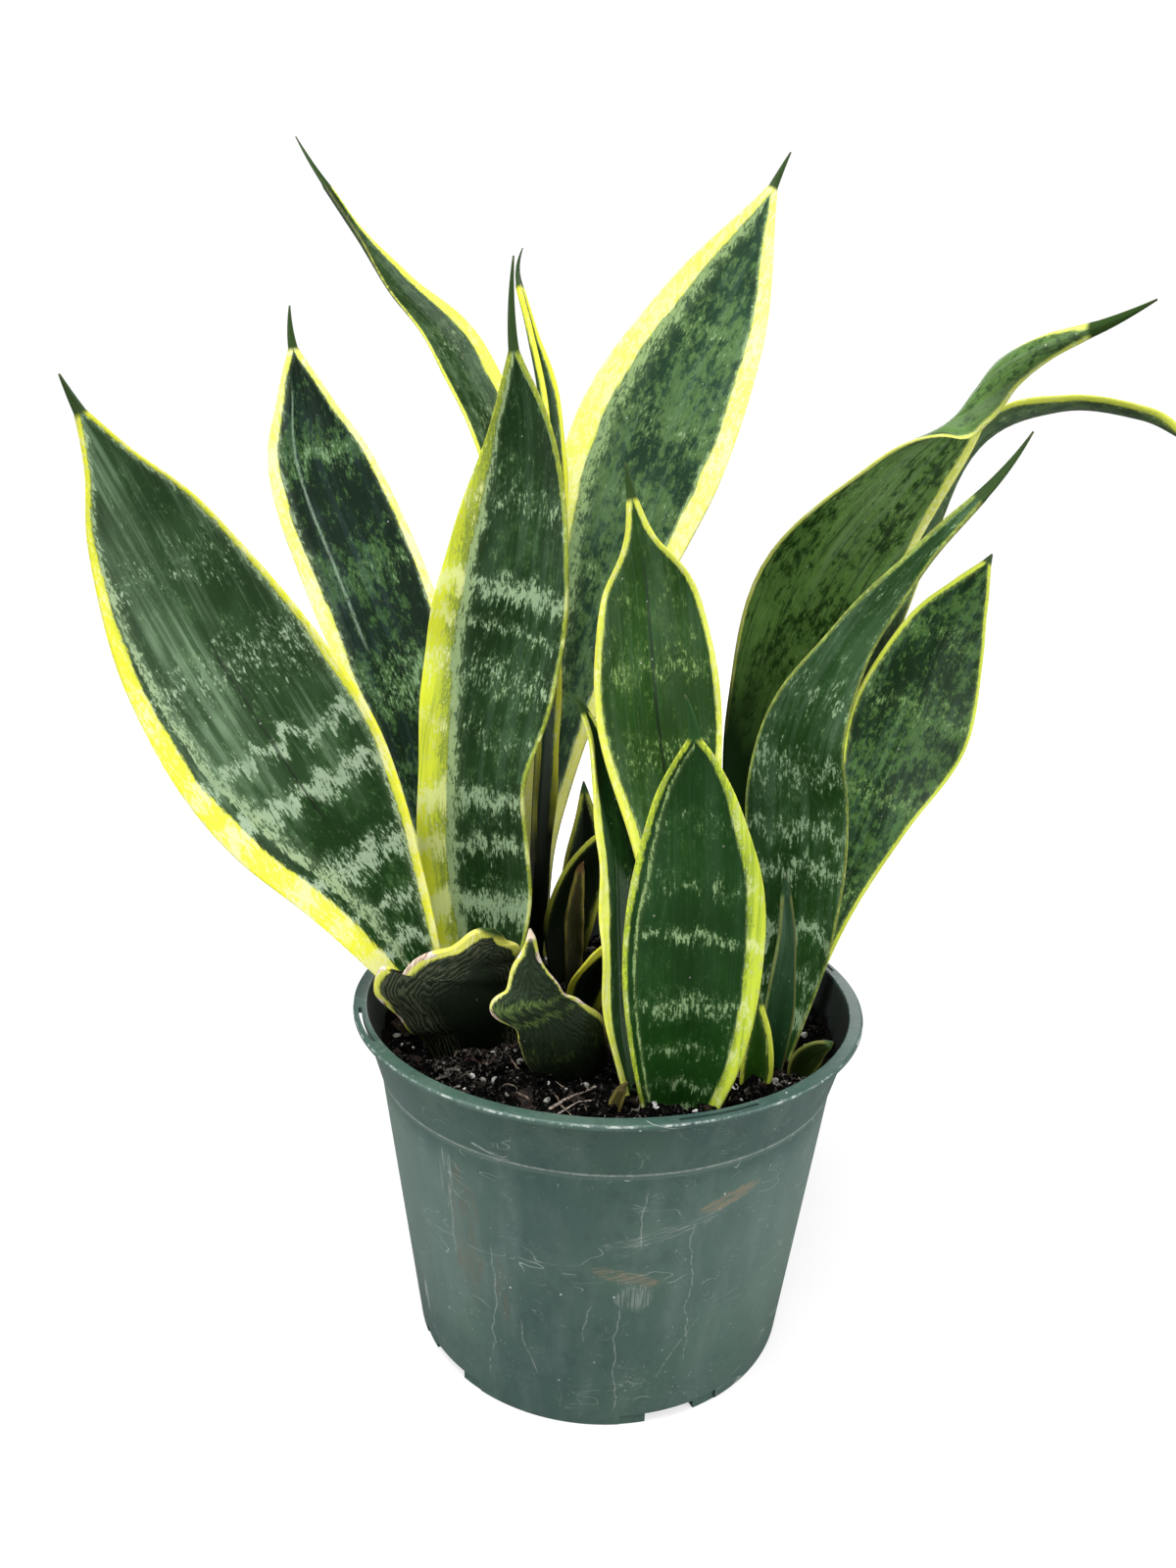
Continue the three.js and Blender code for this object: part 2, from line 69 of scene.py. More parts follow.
# Long scratches down the wall: bearing (degrees from the front), top, bottom, lean, own number.
SCRATCHES = (
    (-37, 110, 62, -0.05, 3.1), (-30, 80, 12, 0.10, 8.7), (10, 112, 82, 0.05, 14.3),
    (4.5, 66, 4, 0.02, 21.9), (24, 96, 26, -0.06, 27.1), (16, 50, 22, 0.55, 33.3),
    (-3, 62, 40, 0.12, 39.7), (-15, 48, 20, -0.3, 45.1),
)


def shade(red, green, blue, share=1.0):
    """A colour as it looks on a screen, 0 to 255, as the linear one that a shader takes."""
    screen = (np.array((red, green, blue)) * share / 255.0).tolist()
    linear = [c / 12.92 if c <= 0.04045 else ((c + 0.055) / 1.055) ** 2.4 for c in screen]
    return (*linear, 1.0)


def maths(operation):
    """An operator of a Signal, which adds the Math node of this operation."""
    return lambda self, *others: self.sum(operation, *others)


class Signal:
    """A node's output that reads as a number, so that shader maths is written as sums."""

    def __init__(self, nodes, socket):
        self.nodes = nodes
        self.socket = socket

    def sum(self, operation, *values, clamp=False):
        settings = {"operation": operation, "use_clamp": clamp}
        return self.nodes.node("ShaderNodeMath", settings, dict(enumerate((self, *values))))

    __add__ = __radd__ = maths("ADD")
    __sub__ = maths("SUBTRACT")
    __mul__ = __rmul__ = maths("MULTIPLY")
    __truediv__ = maths("DIVIDE")
    __pow__ = maths("POWER")
    __abs__ = maths("ABSOLUTE")
    most = maths("MAXIMUM")
    least = maths("MINIMUM")

    def __rsub__(self, other):
        return (self * -1.0) + other

    def __rtruediv__(self, other):
        return (self ** -1.0) * other

    def clamped(self):
        return self.sum("ADD", 0.0, clamp=True)

    def parts(self):
        """x, y and z of a vector."""
        split = self.nodes.node("ShaderNodeSeparateXYZ", None, {0: self}).socket.node
        return [Signal(self.nodes, split.outputs[axis]) for axis in range(3)]

    def rise(self, low, high):
        """0 below low, 1 above high and a smooth step between; falls where low is above high."""
        settings = {"interpolation_type": "SMOOTHSTEP"}
        return self.nodes.node("ShaderNodeMapRange", settings, {0: self, 1: low, 2: high})


class Nodes:
    """A node tree that is filled by one method, node()."""

    def __init__(self, tree):
        self.tree = tree

    def node(self, kind, settings=None, inputs=None, out=0):
        made = self.tree.nodes.new(kind)
        for name, value in (settings or {}).items():
            if name == "stops":
                self.fill_ramp(made.color_ramp, value)
            else:
                setattr(made, name, value)
        for name, value in (inputs or {}).items():
            self.feed(made.inputs[name], value)
        return Signal(self, made.outputs[out])

    def feed(self, socket, value):
        if isinstance(value, Signal):
            self.tree.links.new(value.socket, socket)
        else:
            socket.default_value = value

    def fill_ramp(self, ramp, stops):
        while len(ramp.elements) > 1:
            ramp.elements.remove(ramp.elements[-1])
        ramp.elements[0].position = stops[0][0]
        for place, _ in stops[1:]:
            ramp.elements.new(place)
        for element, (_, value) in zip(ramp.elements, stops):
            element.color = value if isinstance(value, tuple) else (value, value, value, 1)


class Finish(Nodes):
    """A surface finish: a material with one Principled shader and the nodes that feed it."""

    def __init__(self, name, **constants):
        self.material = bpy.data.materials.new(name)
        self.material.use_nodes = True
        super().__init__(self.material.node_tree)
        self.shader = self.tree.nodes["Principled BSDF"]
        for socket, value in constants.items():
            self.shader.inputs[socket.replace("_", " ")].default_value = value

    def place(self):
        """x, y and z of a point in millimetres, and the point itself."""
        point = self.node("ShaderNodeTexCoord", out="Object")
        x, y, z = (part * 1000.0 for part in point.parts())
        return x, y, z, self.at(x, y, z)

    def at(self, x, y, z):
        return self.node("ShaderNodeCombineXYZ", inputs={0: x, 1: y, 2: z})

    def noise(self, point, scale=1.0, detail=2.0, roughness=0.5, distortion=0.0):
        numbers = {"Scale": scale, "Detail": detail, "Roughness": roughness}
        return self.node("ShaderNodeTexNoise", None,
                         {"Vector": point, "Distortion": distortion, **numbers})

    def cells(self, point, scale=1.0):
        """Distance from the middle of the nearest cell, and the cell's own random number."""
        kind = "ShaderNodeTexVoronoi"
        distance = self.node(kind, None, {"Vector": point, "Scale": scale})
        colour = Signal(self, distance.socket.node.outputs["Color"])
        split = self.node("ShaderNodeSeparateColor", inputs={0: colour})
        return distance, split

    def mix(self, factor, first, second, blend="MIX"):
        settings = {"data_type": "RGBA", "blend_type": blend, "clamp_factor": True}
        return self.node("ShaderNodeMix", settings, {0: factor, 6: first, 7: second}, out=2)

    def paint(self, mask, tone, share=1.0):
        """Lays a tone, times share, over what is painted so far, where the mask is above 0."""
        tone = tone if isinstance(tone, Signal) else shade(*tone, share)
        self.colour = self.mix(mask, self.colour, tone)

    def coat(self, roughness, height, depth, strength):
        """Feeds the shader, and turns height (0 to 1 over depth, in metres) into bumps."""
        self.feed(self.shader.inputs["Base Color"], self.colour)
        self.feed(self.shader.inputs["Roughness"], roughness)
        numbers = {"Strength": strength, "Distance": depth, "Height": height}
        self.feed(self.shader.inputs["Normal"], self.node("ShaderNodeBump", None, numbers))
        return self.material


def linked(name, data):
    """An object of a mesh, a light or a camera, in the scene."""
    made = bpy.data.objects.new(name, data)
    bpy.context.scene.collection.objects.link(made)
    return made


class Recipe(Nodes):
    """A Geometry Nodes tree with named inputs, run once on a piece and then baked into it."""

    def __init__(self, name, **sizes):
        super().__init__(bpy.data.node_groups.new(name, "GeometryNodeTree"))
        self.sizes = sizes
        face = self.tree.interface
        face.new_socket("Geometry", in_out="INPUT", socket_type="NodeSocketGeometry")
        face.new_socket("Geometry", in_out="OUTPUT", socket_type="NodeSocketGeometry")
        for title, value in sizes.items():
            kind = "NodeSocketInt" if isinstance(value, int) else "NodeSocketFloat"
            face.new_socket(title, in_out="INPUT", socket_type=kind)
        self.start = self.tree.nodes.new("NodeGroupInput")
        self.end = self.tree.nodes.new("NodeGroupOutput")

    def size(self, title):
        return Signal(self, self.start.outputs[title])

    def metres(self, title):
        return self.size(title) * MM

    @property
    def piece(self):
        return Signal(self, self.start.outputs["Geometry"])

    def close(self, geometry, material):
        """Ends the tree in real, painted geometry."""
        real = self.node("GeometryNodeRealizeInstances", None, {0: geometry})
        real = self.node("GeometryNodeSetMaterial", None, {"Geometry": real, "Material": material})
        self.feed(self.end.inputs["Geometry"], real)

    def bake(self, name, base, smooth=True, **sizes):
        """Runs the tree on a mesh and returns a plain object of the result, at the origin."""
        carrier = linked(name + "_raw", base)
        modifier = carrier.modifiers.new("recipe", "NODES")
        modifier.node_group = self.tree
        values = {**self.sizes, **sizes}
        for item in self.tree.interface.items_tree:
            if item.in_out == "INPUT" and item.name in values:
                modifier[item.identifier] = values[item.name]
        seen = carrier.evaluated_get(bpy.context.evaluated_depsgraph_get())
        mesh = bpy.data.meshes.new_from_object(seen)
        carrier.modifiers.remove(modifier)
        bpy.data.objects.remove(carrier)
        mesh.name = name
        mesh.polygons.foreach_set("use_smooth", [smooth] * len(mesh.polygons))
        return linked(name, mesh)


def mesh_of(name, points, faces):
    """A mesh from points in millimetres."""
    mesh = bpy.data.meshes.new(name)
    mesh.from_pydata((np.asarray(points, float) * MM).tolist(), [], faces)
    mesh.update()
    return mesh


def rounded(corners, steps=4):
    """The outline with each corner turned into a short arc, and long runs split up."""
    line = []
    last = len(corners) - 1
    for number, (radius, height, bend) in enumerate(corners):
        here = np.array((radius, height), float)
        if number in (0, last) or bend == 0:
            line.append(here)
            continue
        before = np.array(corners[number - 1][:2]) - here
        after = np.array(corners[number + 1][:2]) - here
        reach = min(bend, 0.45 * np.linalg.norm(before), 0.45 * np.linalg.norm(after))
        start = here + before / np.linalg.norm(before) * reach
        stop = here + after / np.linalg.norm(after) * reach
        for share in np.linspace(0, 1, steps + 1):
            back = 1 - share
            line.append(back**2 * start + 2 * share * back * here + share**2 * stop)
    return line


def pot_wall():
    """The outline turned round the pot's axis, with its floor closed at both faces."""
    line = []
    for start, stop in zip(rounded(POT_OUTLINE), rounded(POT_OUTLINE)[1:]):
        runs = max(1, round(np.linalg.norm(stop - start) / LONGEST_RUN))
        line += [start + (stop - start) * run / runs for run in range(runs)]
    line.append(np.array(POT_OUTLINE[-1][:2], float))
    turn = np.arange(POT_SIDES) * 2 * math.pi / POT_SIDES
    points = [(0, 0, 0)]
    for radius, height in line:
        points += [(radius * math.cos(a), radius * math.sin(a), height) for a in turn]
    points.append((0, 0, POT_OUTLINE[-1][1]))
    faces = []
    for side in range(POT_SIDES):
        after = (side + 1) % POT_SIDES
        faces.append((0, 1 + after, 1 + side))
        for row in range(len(line) - 1):
            low = 1 + row * POT_SIDES
            high = low + POT_SIDES
            faces.append((low + side, low + after, high + after, high + side))
        top = 1 + (len(line) - 1) * POT_SIDES
        faces.append((len(points) - 1, top + side, top + after))
    return mesh_of("pot", points, faces)


def cut_out(finish, title):
    """A tree that takes blocks, bent round the pot and spaced evenly, out of the wall."""
    recipe = Recipe(title, count=1, first=0.0, arc=1.0, inner=1.0, outer=1.0, low=0.0, high=1.0)
    inner, outer, low, high = map(recipe.metres, ("inner", "outer", "low", "high"))
    degree = math.pi / 180
    sweep = recipe.size("arc") * degree
    bend = recipe.node("GeometryNodeCurveArc", {"mode": "RADIUS"}, {
        "Resolution": 25, "Radius": (inner + outer) / 2.0, "Sweep Angle": sweep,
        "Start Angle": sweep * -0.5})
    upright = recipe.node("GeometryNodeSetCurveNormal", {"mode": "Z_UP"}, {"Curve": bend})
    section = recipe.node("GeometryNodeCurvePrimitiveQuadrilateral", None, {
        "Width": outer - inner, "Height": high - low})
    block = recipe.node("GeometryNodeCurveToMesh", None, {
        "Curve": upright, "Profile Curve": section, "Fill Caps": True})
    lift = recipe.node("ShaderNodeCombineXYZ", None, {2: (low + high) / 2.0})
    block = recipe.node("GeometryNodeTransform", None, {"Geometry": block, "Translation": lift})
    spots = recipe.node("GeometryNodePoints", None, {"Count": recipe.size("count")})
    number = recipe.node("GeometryNodeInputIndex")
    step = 360.0 / recipe.size("count")
    turned = (recipe.size("first") - 90.0 + number * step) * degree
    spin = recipe.node("ShaderNodeCombineXYZ", None, {2: turned})
    blocks = recipe.node("GeometryNodeInstanceOnPoints", None, {
        "Points": spots, "Instance": block, "Rotation": spin})
    blocks = recipe.node("GeometryNodeRealizeInstances", None, {0: blocks})
    cut = recipe.node("GeometryNodeMeshBoolean", {"operation": "DIFFERENCE", "solver": "EXACT"}, {
        "Mesh 1": recipe.piece, "Mesh 2": blocks})
    recipe.close(cut, finish)
    return recipe


def moulded_plastic():
    """Satin grey-green plastic with hair-fine scratches, specks, scuffs, dried drips, painted sheen
    and shade.
    """
    finish = Finish("scuffed pot plastic", Specular_IOR_Level=0.5, IOR=1.46)
    x, y, z, point = finish.place()
    around = x.sum("ARCTAN2", y * -1.0) * WALL_RADIUS
    radius = (x * x + y * y) ** 0.5
    flat = finish.at(x, y, z * 0.25)
    cloud = finish.noise(point, 0.012, 3, 0.6)
    haze = finish.noise(flat, 0.09, 4, 0.65)
    # Hair scratches run along the lines where a noise crosses its middle value, in short runs.
    long_way = finish.noise(finish.at(x * 0.35, y * 0.35, z), 0.11, 1, 0.4, 0.4)
    squiggle = finish.noise(point, 0.075, 2, 0.5, 1.4)
    runs = finish.noise(point, 0.045, 2, 0.6).rise(0.55, 0.62)
    other_runs = finish.noise(finish.at(x + 300.0, y, z), 0.06, 2, 0.6).rise(0.57, 0.63)
    hair = abs(long_way - 0.5).rise(0.0042, 0.0012) * runs
    curly = abs(squiggle - 0.5).rise(0.006, 0.0015) * other_runs
    fine = finish.noise(finish.at(around * 0.5, z * 2.4, radius), 0.32, 0)
    ticks = abs(fine - 0.5).rise(0.006, 0.002) * finish.noise(point, 0.1, 1).rise(0.6, 0.68)
    nicks, chance = finish.cells(point, 0.16)
    spots = nicks.rise(0.085, 0.04) * chance.rise(0.80, 0.9)
    crumbs, luck = finish.cells(point, 0.62)
    dusty = finish.noise(point, 0.035, 2, 0.6).rise(0.42, 0.62)
    dust = crumbs.rise(0.22, 0.08) * luck.rise(0.82, 0.95) * (dusty * 0.8 + 0.2)
    lint = abs(finish.noise(point, 0.3, 1, 0.5, 1.0) - 0.5).rise(0.012, 0.003)
    lint = lint * finish.noise(point, 0.35, 2, 0.6).rise(0.6, 0.7) * dusty
    worn = hair * 0.4 + curly * 0.2 + ticks * 0.4 + spots * 0.75 + dust * 0.5 + lint * 0.4
    worn = worn.clamped()
    # The rim's outer edge, its lip and the band's step: part rubbed wear, part painted highlight.
    rub = finish.noise(point, 0.13, 3, 0.7)
    chips = finish.noise(point, 0.55, 3, 0.7)
    edge = radius.rise(RIM_RADIUS - 0.55, RIM_RADIUS - 0.2) * z.rise(140.9, 141.3)
    edge = edge * (rub * 0.6 + chips * 0.4).rise(0.47, 0.60)
    lip = abs(radius - 96.5).rise(0.4, 0.1) * z.rise(141.3, 141.9) * chips.rise(0.55, 0.7)
    step_highlight = abs(z - BAND_FOOT - 0.4).rise(0.8, 0.2) * (chips.rise(0.3, 0.7) * 0.6 + 0.3)
    rubbed_and_highlit = (edge * 0.6 + lip * 0.5 + step_highlight * 0.45).clamped()

    def stain(at_bearing, at_height, wide, high, ragged, tilt=0.0):
        """A ragged patch on the wall about a bearing (degrees) and a height."""
        off = around - math.radians(at_bearing) * WALL_RADIUS
        rise = (z - at_height - off * tilt) / high
        off = off / wide
        return (off * off + rise * rise + (ragged - 0.5) * 2.4).rise(1.0, 0.35)

    def scratch(at_bearing, top, bottom, lean, step):
        """One long thin scratch that wanders down the wall and fades in and out."""
        wander = finish.noise(finish.at(z * 0.035, step, 0.0), 1.0, 3, 0.6) - 0.5
        off = around - math.radians(at_bearing) * WALL_RADIUS - wander * 14.0
        off = off - (z - bottom) * lean
        length = z.rise(bottom, bottom + 6) * z.rise(top, top - 6)
        return abs(off).rise(0.42, 0.1) * length * chips.rise(0.36, 0.56)

    ragged = finish.noise(point, 0.16, 4, 0.7)
    streaks = finish.noise(finish.at(around * 0.8, z * 0.07, 0.0), 1.0, 2, 0.6)
    fibres = finish.noise(finish.at(around * 0.12, (z - around * 0.22) * 1.1, 0.0), 1.0, 3, 0.7)
    scuff = stain(30, 100, 15, 3.6, ragged, 0.24) * fibres.rise(0.34, 0.58)
    scuff = (scuff + stain(7, 72, 15, 3.8, ragged, -0.22) * fibres.rise(0.36, 0.6) * 0.8).clamped()
    swept = stain(16, 91, 30, 3.2, ragged, 0.24) * fibres.rise(0.45, 0.66)
    browned = stain(-34, 78, 9, 34, ragged, 0.0) * streaks.rise(0.44, 0.62)
    browned = (browned + stain(-24, 62, 4, 26, ragged) * streaks.rise(0.5, 0.64)).clamped()
    scratches = 0.0
    for mark in SCRATCHES:
        scratches = scratch(*mark) + scratches
    fine_streaks = finish.noise(finish.at(around * 1.6, z * 0.06, 4.0), 1.0, 2, 0.6)
    drips = stain(-38.5, 98, 4, 18, ragged) * fine_streaks.rise(0.5, 0.62)
    brushed = stain(9, 63, 8, 7, ragged) * fine_streaks.rise(0.46, 0.6)
    # Painted highlight: small pale glints low on the left of the wall, added in with the chalk
    # marks.
    glints = stain(-58, 26, 2.2, 9, ragged) * fine_streaks.rise(0.44, 0.56)
    chalk_and_glints = drips * 0.35 + brushed * 0.4 + glints * 0.8 + swept * 0.35
    chalk_and_glints = (chalk_and_glints + scratches.clamped() * 0.42).clamped()
    outer_face = (z - BAND_FOOT) * 0.27 + 92.1
    inside = (outer_face - radius).rise(0.7, 1.1) * z.rise(118.0, 120.0) * z.rise(141.4, 140.6)
    grime = finish.noise(point, 0.07, 4, 0.7).rise(0.35, 0.75) * inside

    finish.colour = finish.mix(cloud.rise(0.3, 0.7), shade(50, 76, 72), shade(62, 90, 78))
    finish.paint(haze.rise(0.4, 0.75) * 0.4, (90, 108, 102))
    finish.paint(ragged.rise(0.5, 0.3) * 0.4, (40, 60, 57))
    # Painted sheen: the flanks of the wall and a belt round its middle are painted lighter.
    flank = (abs(around) + (haze - 0.5) * 70.0 + (cloud - 0.5) * 60.0).rise(0.0, 90.0)
    flank_sheen = flank * z.rise(8.0, 50.0) * z.rise(BAND_FOOT, BAND_FOOT - 12)
    belt = z.rise(BAND_FOOT - 3, BAND_FOOT - 20) * z.rise(40.0, 80.0)
    flank_sheen = flank_sheen * (haze * 0.6 + 0.7) + belt * 0.3
    finish.paint(flank_sheen * 0.28, (112, 134, 126))
    # Painted light: the step under the band, which faces down into shade, is painted paler.
    fold = z.rise(BAND_FOOT - 2.4, BAND_FOOT - 1.6) * z.rise(BAND_FOOT + 0.4, BAND_FOOT)
    finish.paint(fold * 0.35, (96, 122, 112))
    finish.paint(browned * 0.42, (100, 86, 68))
    finish.paint(scuff * 0.62, (140, 124, 98))
    # Chalk marks, scratches and painted glints.
    finish.paint(chalk_and_glints, (166, 172, 168))
    # Rubbed wear and painted highlights along the rim edges and the band step.
    finish.paint(rubbed_and_highlit, (196, 204, 196))
    finish.paint(worn, (206, 214, 208))
    # Painted shade: the inner wall between soil and rim is painted near black.
    finish.paint(inside * 0.88, (5, 10, 9))
    finish.paint(grime * 0.5, (24, 22, 18))
    gloss = 0.40 + haze * 0.18 + worn * 0.25 + chalk_and_glints * 0.2 + inside * 0.2
    grain = finish.noise(point, 1.6, 2, 0.6)
    height = grain * 0.25 + finish.noise(point, 0.2, 2) * 0.5 - worn * 0.35 + ragged * 0.2
    return finish.coat(gloss.clamped(), height, 0.00012, 0.8)


plastic = moulded_plastic()
wall = cut_out(plastic, "hanger slots").bake("slotted", pot_wall(), **HANGER_SLOTS)
notched = cut_out(plastic, "drain pockets").bake("notched", wall.data, **DRAIN_POCKETS)
pot = cut_out(plastic, "drain holes").bake("pot_moulding", notched.data, **DRAIN_HOLES)
bpy.data.objects.remove(wall)
bpy.data.objects.remove(notched)
pot.data.set_sharp_from_angle(angle=math.radians(SHARPEST_BEND))
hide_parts("pot")
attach(pot, "root")


# Soil: moist peat-and-bark potting mix, pressed round the roots by hand. It is heaped at the
# front and sunken at the left, with loose crumbs, bark chips, roots and white perlite on it.
SOIL_LEVEL = 127
CRUMB_HEIGHT = 1.1
# Each mound or hollow: x, y, height, spread.
SOIL_MOUNDS = ((-30, -48, 5, 20), (60, -54, 6, 14), (-82, -22, -8, 24), (74, 48, -5, 26),
               (12, -72, 2, 18))
SOIL_RINGS = 110
SOIL_SECTORS = 300
SOIL_EDGE = 91.7
SOIL_UNDERSIDE = 113
LOWEST_CRUMB = 117
LOOSE_TILT = 0.35


def soil_height(x, y):
    """Height of the soil at a place, in millimetres."""
    height = SOIL_LEVEL
    for middle_x, middle_y, rise, spread in SOIL_MOUNDS:
        height = height + rise * np.exp(-((x - middle_x) ** 2 + (y - middle_y) ** 2) / spread**2)
    crumbs = np.sin(0.31 * x + 1.7) * np.cos(0.27 * y) + np.sin(0.53 * y - 0.19 * x)
    return height + CRUMB_HEIGHT * crumbs


def soil_bed():
    """The soil's upper face as rings about the middle, with a skirt down the pot's wall."""
    turn = np.arange(SOIL_SECTORS) * 2 * math.pi / SOIL_SECTORS
    points = [(0, 0, float(soil_height(0, 0)) - 1)]
    for ring in range(1, SOIL_RINGS + 1):
        radius = SOIL_EDGE * ring / SOIL_RINGS
        x, y = radius * np.cos(turn), radius * np.sin(turn)
        points += list(zip(x, y, soil_height(x, y) - 1))
    for radius, height in ((SOIL_EDGE - 0.6, SOIL_UNDERSIDE + 1), (SOIL_EDGE - 6, SOIL_UNDERSIDE)):
        points += [(radius * math.cos(a), radius * math.sin(a), height) for a in turn]
    points.append((0, 0, SOIL_UNDERSIDE))
    faces = []
    for sector in range(SOIL_SECTORS):
        after = (sector + 1) % SOIL_SECTORS
        faces.append((0, 1 + sector, 1 + after))
        for ring in range(SOIL_RINGS + 1):
            low = 1 + ring * SOIL_SECTORS
            high = low + SOIL_SECTORS
            faces.append((low + sector, high + sector, high + after, low + after))
        last = 1 + (SOIL_RINGS + 1) * SOIL_SECTORS
        faces.append((len(points) - 1, last + after, last + sector))
    return mesh_of("soil_bed", points, faces)


def peat():
    """Near-black wet peat with brown fibres and a few paler specks."""
    finish = Finish("damp peat", Specular_IOR_Level=0.04)
    x, y, z, point = finish.place()
    lump = finish.noise(point, 0.22, 4, 0.7)
    fine = finish.noise(point, 1.1, 4, 0.75)
    fibre = finish.noise(finish.at(x * 0.5, y * 1.6, z), 0.7, 3, 0.7, 1.5)
    finish.colour = finish.mix(lump.rise(0.3, 0.75), shade(2, 2, 2), shade(15, 13, 12))
    finish.paint(abs(fibre - 0.5).rise(0.02, 0.0) * 0.3, (56, 46, 40))
    finish.paint(fine.rise(0.66, 0.8) * 0.4, (56, 54, 50))
    return finish.coat(0.62 + fine * 0.4, lump * 0.5 + fine * 0.5, 0.0016, 1.0)


def roughened(title, finish):
    """A tree that heaves the bed into clods and pits."""
    recipe = Recipe(title, clod=1.0, clod_size=1.0, crumb=1.0, crumb_size=1.0)
    up = recipe.node("GeometryNodeInputNormal")
    normal = recipe.node("ShaderNodeSeparateXYZ", None, {0: up}, out="Z")
    offset = 0.0
    for size, depth in (("clod_size", "clod"), ("crumb_size", "crumb")):
        noise = recipe.node("ShaderNodeTexNoise", None, {
            "Scale": 1000.0 / recipe.size(size), "Detail": 3.0, "Roughness": 0.65})
        offset = (noise - 0.5) * recipe.size(depth) * (2 * MM) + offset
    upward = normal.rise(0.2, 0.6)
    shift = recipe.node("ShaderNodeCombineXYZ", None, {2: offset * upward})
    moved = recipe.node("GeometryNodeSetPosition", None, {
        "Geometry": recipe.piece, "Offset": shift})
    recipe.close(moved, finish)
    return recipe


def scattered(title, finish, shape, lies_flat):
    """A tree that strews one kind of particle over the bed and gives each its own form."""
    recipe = Recipe(title, density=1000.0, seed=1, least=1.0, most=2.0, thick=1.0, long=1.0,
                    lift=0.0, ragged=0.3, edge=88.0, heap_x=0.0, heap_y=0.0, heap=400.0)
    x, y, z = recipe.node("GeometryNodeInputPosition").parts()
    reach = (x * x + y * y) ** 0.5
    inside = reach.rise(recipe.metres("edge"), recipe.metres("edge") - 0.5 * MM)
    inside = inside * z.rise(LOWEST_CRUMB * MM, (LOWEST_CRUMB + 1) * MM)
    off_x, off_y = x - recipe.metres("heap_x"), y - recipe.metres("heap_y")
    off = (off_x * off_x + off_y * off_y) ** 0.5
    inside = inside * off.rise(recipe.metres("heap"), recipe.size("heap") * (0.5 * MM))
    spots = recipe.node("GeometryNodeDistributePointsOnFaces", {"distribute_method": "RANDOM"}, {
        "Mesh": recipe.piece, "Density": recipe.size("density") * inside,
        "Seed": recipe.size("seed")}).socket.node
    points, tilt = Signal(recipe, spots.outputs["Points"]), spots.outputs["Rotation"]

    def chance(low, high, step):
        kind = "FLOAT_VECTOR" if isinstance(low, tuple) else "FLOAT"
        random = recipe.node("FunctionNodeRandomValue", {"data_type": kind}).socket.node
        ends = [socket for socket in random.inputs if socket.enabled]
        ends[0].default_value = low
        ends[1].default_value = high
        recipe.feed(random.inputs["Seed"], recipe.size("seed") + step)
        return Signal(recipe, [socket for socket in random.outputs if socket.enabled][0])

    share = chance(0.0, 1.0, 3)
    size = recipe.size("least") + share * share * (recipe.size("most") - recipe.size("least"))
    size = size * (0.5 * MM)
    lengthen = 1.0 + (recipe.size("long") - 1.0) * chance(0.2, 1.0, 5)
    scale = recipe.node("ShaderNodeCombineXYZ", None, {
        0: size * lengthen, 1: size, 2: size * recipe.size("thick") * chance(0.6, 1.2, 7)})
    least_turn = (-LOOSE_TILT, -LOOSE_TILT, 0.0) if lies_flat else (0.0, 0.0, 0.0)
    most_turn = (LOOSE_TILT, LOOSE_TILT, 6.28) if lies_flat else (6.28, 6.28, 6.28)
    turn = recipe.node("FunctionNodeEulerToRotation", None, {0: chance(least_turn, most_turn, 9)})
    turned = recipe.node("FunctionNodeRotateRotation", {"rotation_space": "LOCAL"}, {
        0: Signal(recipe, tilt), 1: turn})
    strewn = recipe.node("GeometryNodeInstanceOnPoints", None, {
        "Points": points, "Instance": shape(recipe), "Rotation": turned, "Scale": scale})
    real = recipe.node("GeometryNodeRealizeInstances", None, {0: strewn})
    noise = recipe.node("ShaderNodeTexNoise", None, {
        "Scale": 420.0, "Detail": 1.0}, out="Color")
    centred = recipe.node("ShaderNodeVectorMath", {"operation": "SUBTRACT"}, {
        0: noise, 1: (0.5, 0.5, 0.5)})
    bent = recipe.node("ShaderNodeVectorMath", {"operation": "SCALE"}, {
        0: centred, "Scale": recipe.size("ragged") * (2.0 * MM)})
    up = recipe.node("ShaderNodeCombineXYZ", None, {2: recipe.metres("lift")})
    bent = recipe.node("ShaderNodeVectorMath", {"operation": "ADD"}, {0: bent, 1: up})
    real = recipe.node("GeometryNodeSetPosition", None, {"Geometry": real, "Offset": bent})
    recipe.close(real, finish)
    return recipe


def grain(recipe):
    return recipe.node("GeometryNodeMeshIcoSphere", None, {"Radius": 1.0, "Subdivisions": 2})


def clod(recipe):
    return recipe.node("GeometryNodeMeshIcoSphere", None, {"Radius": 1.0, "Subdivisions": 1})


def flake(recipe):
    return recipe.node("GeometryNodeMeshCube", None, {
        "Size": (2.0, 2.0, 2.0), "Vertices X": 4, "Vertices Y": 3, "Vertices Z": 2})


def strand(recipe):
    """A thin root: a bowed line with a five-sided section."""
    line = recipe.node("GeometryNodeCurveQuadraticBezier", None, {
        "Resolution": 7, "Start": (-1.0, 0.0, 0.0), "Middle": (0.1, 0.6, 0.5),
        "End": (1.0, -0.1, 0.1)})
    section = recipe.node("GeometryNodeCurvePrimitiveCircle", {"mode": "RADIUS"}, {
        "Resolution": 5, "Radius": 0.045})
    return recipe.node("GeometryNodeCurveToMesh", None, {
        "Curve": line, "Profile Curve": section, "Fill Caps": True})


